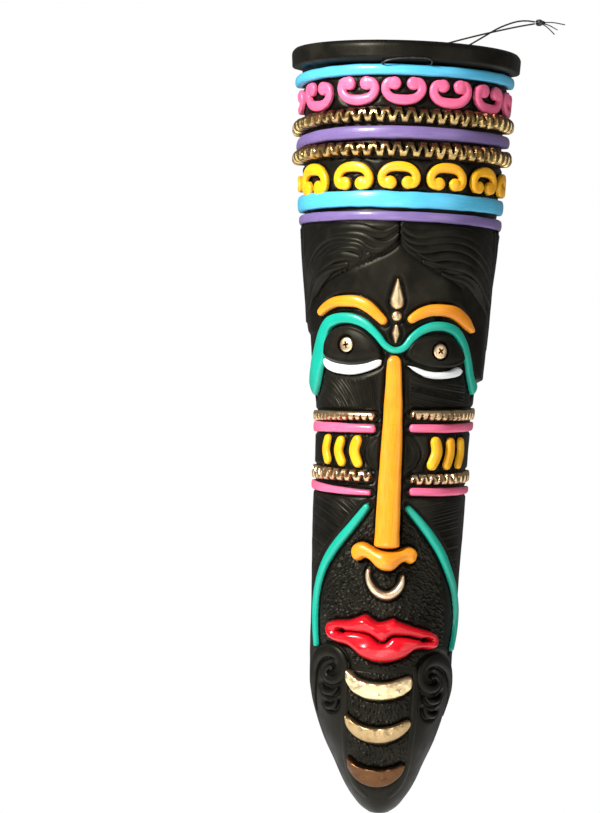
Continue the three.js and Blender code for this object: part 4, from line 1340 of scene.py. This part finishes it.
# Hair: tapering strands swept from the parting to the temples, on the soft mass below
hair = {
    "strands": [
        ([(-0.7, 348.3), (-3.8, 345.4), (-8.7, 342.8), (-13.7, 343.1), (-18.8, 344.9), (-25.5, 345.5),
          (-33.2, 344.9), (-40.9, 342.4), (-47.4, 337.7), (-52.3, 329.8), (-54.4, 319.8)],
         [0.8, 2.2, 2.6, 2.8, 3.0, 3.2, 3.0, 2.6, 1.8]),
        ([(-0.4, 343.3), (-2.5, 339.9), (-6.8, 337), (-11.8, 336.8), (-16.3, 338.7), (-20.3, 340.8),
          (-25.3, 341.9), (-32, 341.6), (-38.6, 340.5), (-44.1, 337.8), (-49.3, 332.1), (-52.6, 322.2),
          (-54, 309)],
         [0.6, 1.8, 2.5, 2.2, 1.8, 1.8, 1.9, 1.9, 1.9, 1.8, 1.4]),
        ([(-4.2, 335.4), (-9.5, 333.6), (-13.9, 333.2), (-17.8, 334.9), (-20.4, 337), (-24.1, 338.5),
          (-29.7, 338.9), (-35.8, 338.2), (-41.2, 336.3), (-46, 332.2), (-49.8, 324.4)],
         [1.0, 1.6, 1.8, 1.7, 1.6, 1.6, 1.6, 1.5, 1.3, 0.9]),
        ([(-15.4, 331.2), (-18.8, 329.9), (-19.7, 333.2), (-21.7, 335.3), (-25.1, 336.3), (-30.1, 336.3),
          (-35.7, 335.6), (-40, 333.5), (-43.8, 330), (-46.9, 323.4)],
         [1.3, 1.8, 1.7, 1.5, 1.4, 1.4, 1.3, 1.2, 0.8]),
        ([(-21.5, 328.6), (-22.2, 331.7), (-24.5, 333.5), (-28.9, 333.9), (-34.5, 333.1), (-38.8, 330.8),
          (-42.6, 327.3), (-46, 321), (-49.4, 311)], [1.2, 1.5, 1.4, 1.4, 1.4, 1.3, 1.2, 0.8]),
        ([(-21.4, 327.6), (-26, 329), (-31, 329.7), (-36, 328.7), (-39.8, 326.3), (-43.5, 322.8),
          (-47.2, 316.7), (-50.4, 307.8), (-52.4, 296.9)], [1.4, 2.4, 2.6, 2.4, 2.1, 1.8, 1.1]),
        ([(-28.1, 324.9), (-33.5, 323.5), (-37.9, 322), (-42.3, 319), (-46.4, 313.5), (-49.6, 305.8),
          (-51.6, 296), (-52.2, 287)], [1.0, 2.0, 2.4, 2.4, 2.4, 2.0, 1.0]),
        ([(0.7, 348.7), (3.2, 345.7), (6.9, 343.6), (12.5, 343), (19.7, 344.1), (28.5, 345.3), (37.5, 344.8),
          (44.8, 341.7), (51, 335.9), (55, 326.3)], [0.8, 2.0, 2.4, 2.6, 2.8, 3.0, 3.0, 2.6, 1.8]),
        ([(0.6, 344.5), (3.4, 341), (7.6, 339.1), (13.2, 338.8), (20.4, 340.1), (28.7, 341.1), (37.1, 340.3),
          (44.4, 336.9), (50.6, 330.8), (54.4, 320.7)], [0.6, 1.8, 2.2, 2.2, 2.0, 2.0, 2.0, 1.8, 1.2]),
        ([(0.8, 341.4), (3.2, 337.6), (7.5, 335), (12.8, 334.4), (18.9, 335.4), (26.6, 336.8), (35, 336),
          (42.9, 332.3), (49.4, 325.8), (53.2, 316.3), (54.6, 303.4)],
         [0.7, 1.8, 2.2, 2.2, 2.0, 1.9, 1.9, 1.8, 1.6, 1.0]),
        ([(9.4, 331.8), (14.7, 329.9), (20.2, 330), (26.8, 331.3), (34.6, 330.8), (42.2, 327.2),
          (48.3, 320.8), (52.6, 311.7), (54.2, 299.8)], [0.8, 2.0, 2.4, 2.2, 2.2, 2.2, 2.0, 1.4]),
        ([(13.8, 327.6), (19.2, 326), (24.8, 325.7), (30.9, 326.2), (38.2, 325), (44.7, 320.7), (49.9, 313.2),
          (52.9, 303.5), (54, 290.2)], [0.8, 1.8, 2.4, 2.6, 2.6, 2.4, 2.2, 1.4]),
        ([(25.1, 321.3), (31.2, 319.5), (37.3, 318.6), (43, 315.4), (47.9, 309), (51.1, 300.1), (52.6, 289.9),
          (52.4, 278.3)], [0.8, 1.7, 2.2, 2.4, 2.4, 2.2, 1.4])],
    "rises": [0.6, 1.7, 2.0, 1.6, 0.95, 0.45, 0.1], "widen": 1.3,
    # Locks on the flanks, as distance round the tube, left and right alike
    "flank": [([(70, 349), (74, 333), (76, 314), (78, 302), (79, 291)], [1.2, 3.2, 3.8, 3.2, 0.6]),
              ([(77, 349.5), (81, 334), (83, 316), (84, 304), (84, 293)], [1.2, 3.2, 3.8, 3.2, 0.6])],
    "flankRise": 0.5,
}


def onHair(arc, z, lift):
    wide = section(z)[0]
    return onTube(arc / wide, z, lift + float(hairMass(arc / wide, z)))


def layHair():
    clay = startClay()
    for route, widths in hair["strands"]:
        layCoil(clay, toSkin(route), [w * hair["widen"] for w in widths], hair["rises"], onHair, across=12,
                step=0.8, fullness=0.9, outlined=False)
    for side in (-1, 1):
        for route, widths in hair["flank"]:
            layCoil(clay, [(side * arc, z) for arc, z in route], widths, hair["flankRise"], onHair, across=12,
                    step=1.0, fullness=1.0, outlined=False)
    finishClay("hairStrands", clay, "black")


# Textured skin: fine patches that follow the body and carry punched cells or combed strokes
skins = {
    "step": 0.5, "combStep": 0.36, "above": 0.22, "sharp": 80, "tuckIn": 1.1, "clearFrom": 0.6,
    "clearOver": 1.4, "mouthStipple": {
        "top": [(-38.6, 126), (-36.8, 138.5), (-34.2, 147), (-30.2, 154.6), (-25.2, 161.8), (-20, 168.3),
                (-14.8, 175.6), (-9.5, 183.4), (0, 187), (6.8, 184), (12, 178), (17.6, 171.6), (23.6, 164),
                (28.8, 155.6), (33, 146.4), (35.8, 137), (37.2, 126)],
        "bottom": [(-38.6, 103), (-30, 100), (-22, 92.4), (-14, 89), (0, 87.4), (12, 89), (20, 93),
                   (28, 100.6), (37.2, 103)],
        "cells": (2.5, 2.3, 1.8)},
    "chinStipple": {
        "top": [(-20.6, 88), (-12, 88), (0, 87), (10, 88), (17.4, 88)],
        "bottom": [(-20.6, 33), (-15, 27), (-10, 24.5), (-1.6, 23), (6, 24.5), (12, 28), (17.4, 33)],
        "cells": (1.9, 3.0, 1.7)},
    "leftCheekComb": {
        "top": [(-44.4, 261), (-38, 260.6), (-31, 259), (-24.6, 258.4), (-16, 260), (-8.8, 263.6)],
        "bottom": [(-44.4, 240.2), (-8.8, 240.6)], "strokes": (1.5, 0.42, 0.018, 0.6)},
    "rightCheekComb": {
        "top": [(8.2, 262), (16, 258.6), (25, 257.6), (36, 259), (43, 257)],
        "bottom": [(8.2, 241.8), (43, 243.2)], "strokes": (1.7, 4.4, 0.05, 0.42)},
    "leftJawComb": {
        "top": [(-46, 190), (-30, 189), (-17.6, 188.2)],
        "bottom": [(-46, 138), (-43.6, 144.6), (-41.6, 149), (-37.6, 157.4), (-32.4, 165), (-27, 171.6),
                   (-21.8, 178.6), (-17.6, 184.6)],
        "strokes": (1.6, 1.5, 0.02, 0.36)},
    "rightJawComb": {
        "top": [(14.6, 188.8), (28, 189.2), (43.8, 188.6)],
        "bottom": [(14.6, 184), (19.6, 179), (25, 173.4), (31, 166), (36.4, 157), (40.6, 147.4), (43.8, 140)],
        "strokes": (1.7, -4.5, 0.0, 0.28)},
}


def cellHeight(x, z, wide, tall):
    warp = noise.noise(Vector((x * 0.33, z * 0.33, 4.7)))
    near = noise.voronoi(Vector((x / wide + 0.55 * warp, z / tall - 0.45 * warp, 1.3)))[0]
    return min(1.0, (near[1] - near[0]) * 1.45) + 0.3 * noise.noise(Vector((x * 0.9, z * 0.9, 2.2)))


def strokeHeight(x, z, pitch, slope, bend, depth):
    # Fine lines a stiff brush left in the wet clay; slope is how far a stroke runs sideways as it climbs
    lean = slope + bend * (abs(x) - 25)
    across = (x + lean * (z - 250)) / sqrt(1 + lean * lean)
    wander = 1.1 * noise.noise(Vector((across * 0.3, z * 0.04, 8.0)))
    fade = 0.65 + 0.8 * noise.noise(Vector((across * 0.4, z * 0.09, 5.0)))
    return depth * sin(2 * pi * (across / pitch + wander)) * max(0, fade)


def laySkin(name, skin):
    edges = [smoothLine(skin[side])[1] for side in ("top", "bottom")]
    tree, _ = edgeTree([skin["top"], skin["bottom"]])
    first, last = skin["top"][0][0], skin["top"][-1][0]
    punched = "cells" in skin
    step, fadeIn = (skins["step"], 3) if punched else (skins["combStep"], 1.6)
    columns = round((last - first) / step)
    rows = round((edges[0][:, 1].max() - edges[1][:, 1].min()) * 0.8 / step)
    clay = bmesh.new()
    grooveShadeLayer = clay.verts.layers.float.new("grooveAndShade")
    seats = blankSheet(clay, columns, rows)
    x = np.array([first + (last - first) * column / columns for _, column, _, _ in seats])
    high, low = (np.interp(x, np.maximum.accumulate(edge[:, 0]), edge[:, 1]) for edge in edges)
    z = low + (high - low) * np.array([row / rows for _, _, row, _ in seats])
    angle = np.arcsin(np.clip(x / tableAt(z)[0], -0.995, 0.995))
    lift, grooveAndShade, gap = bodyRelief(angle, z, sheetPlaces(angle, z)[3])
    for i, (vert, column, row, side) in enumerate(seats):
        inside = min(tree.find((x[i], z[i], 0))[2], x[i] - first, last - x[i]) if 0 < row < rows else 0
        tucked = skins["tuckIn"] * (1 - min(1, inside / skins["tuckIn"]))
        clear = min(1, max(0, (gap[i] - skins["clearFrom"]) / skins["clearOver"])) * min(1, inside / fadeIn)
        if punched:
            texture = skin["cells"][2] * (cellHeight(x[i], z[i], *skin["cells"][:2]) - 0.12)
        else:
            texture = strokeHeight(x[i], z[i], *skin["strokes"])
        up = lift[i] + skins["above"] + texture * clear - tucked if side else -sunk
        vert.co = onTube(angle[i], z[i], up)
        # painted shade in the grooves and in the troughs of the texture
        vert[grooveShadeLayer] = max(grooveAndShade[i], 0.8 * max(0, -texture) * clear)
    bmesh.ops.recalc_face_normals(clay, faces=clay.faces)
    markSharp(clay, skins["sharp"])
    linkPiece(name, meshOf(name, clay), ["black"])


layHair()
for skinName, skin in skins.items():
    if isinstance(skin, dict):
        laySkin(skinName, skin)
print("hair and skin laid")

finishBody()
print("body carved")

# Stage: pale floor, white surround, one soft light from the upper left and a weak one opposite
stage = {"floorHeight": -0.42, "floorSize": 3.0, "floorGlow": 0.5, "surround": 0.155, "lookAt": (0, 0, 0.22),
         "floorTones": [(0.86, 0.86, 0.85, 1), (0.9, 0.9, 0.89, 1)],
         "lights": {  # place, size, power
             "keyLight": ((-1.05, -1.15, 1.05), 0.4, 60.0),
             "lowLight": ((-0.25, -1.6, -0.2), 0.5, 4.5),
             "fillLight": ((1.3, -1.2, 0.3), 1.0, 5.5)}}
white = (1, 1, 1, 1)


def layFloor():
    ground = bmesh.new()
    bmesh.ops.create_grid(ground, x_segments=1, y_segments=1, size=stage["floorSize"] / 2,
                          matrix=Matrix.Translation((0, 0, stage["floorHeight"])))
    floor = addObject("floor", meshOf("floor", ground))
    paint, tree, shader, coords = startPaint("paleFloor")
    plug(tree, shader, {
        "Base Color": blendColour(tree, speckle(tree, coords, 3.0), *stage["floorTones"]),
        "Roughness": 0.9, "Emission Color": white, "Emission Strength": stage["floorGlow"]})
    floor.data.materials.append(paint)


def lightWorld():  # white to the eye, dim as a light
    world = bpy.data.worlds.new("surround")
    bpy.context.scene.world = world
    world.use_nodes = True
    tree = world.node_tree
    dim = tree.nodes["Background"]
    plug(tree, dim, {"Strength": stage["surround"], "Color": white})
    plain = join(tree, "ShaderNodeBackground", Color=white, Strength=1.0).outputs[0]
    seen = tree.nodes.new("ShaderNodeLightPath").outputs["Is Camera Ray"]
    mixed = join(tree, "ShaderNodeMixShader", i0=seen, i1=dim.outputs[0], i2=plain).outputs[0]
    plug(tree, tree.nodes["World Output"], {"Surface": mixed})


def placeLights():
    for name, (place, size, power) in stage["lights"].items():
        lamp = bpy.data.lights.new(name, "AREA")
        lamp.energy, lamp.size = power, size
        holder = addObject(name, lamp)
        holder.location = place
        holder.rotation_euler = (Vector(stage["lookAt"]) - Vector(place)).to_track_quat("-Z", "Y").to_euler()


def setStage():
    layFloor()
    lightWorld()
    placeLights()
    bpy.context.scene.view_settings.view_transform = "Standard"


setStage()
print("stage set")
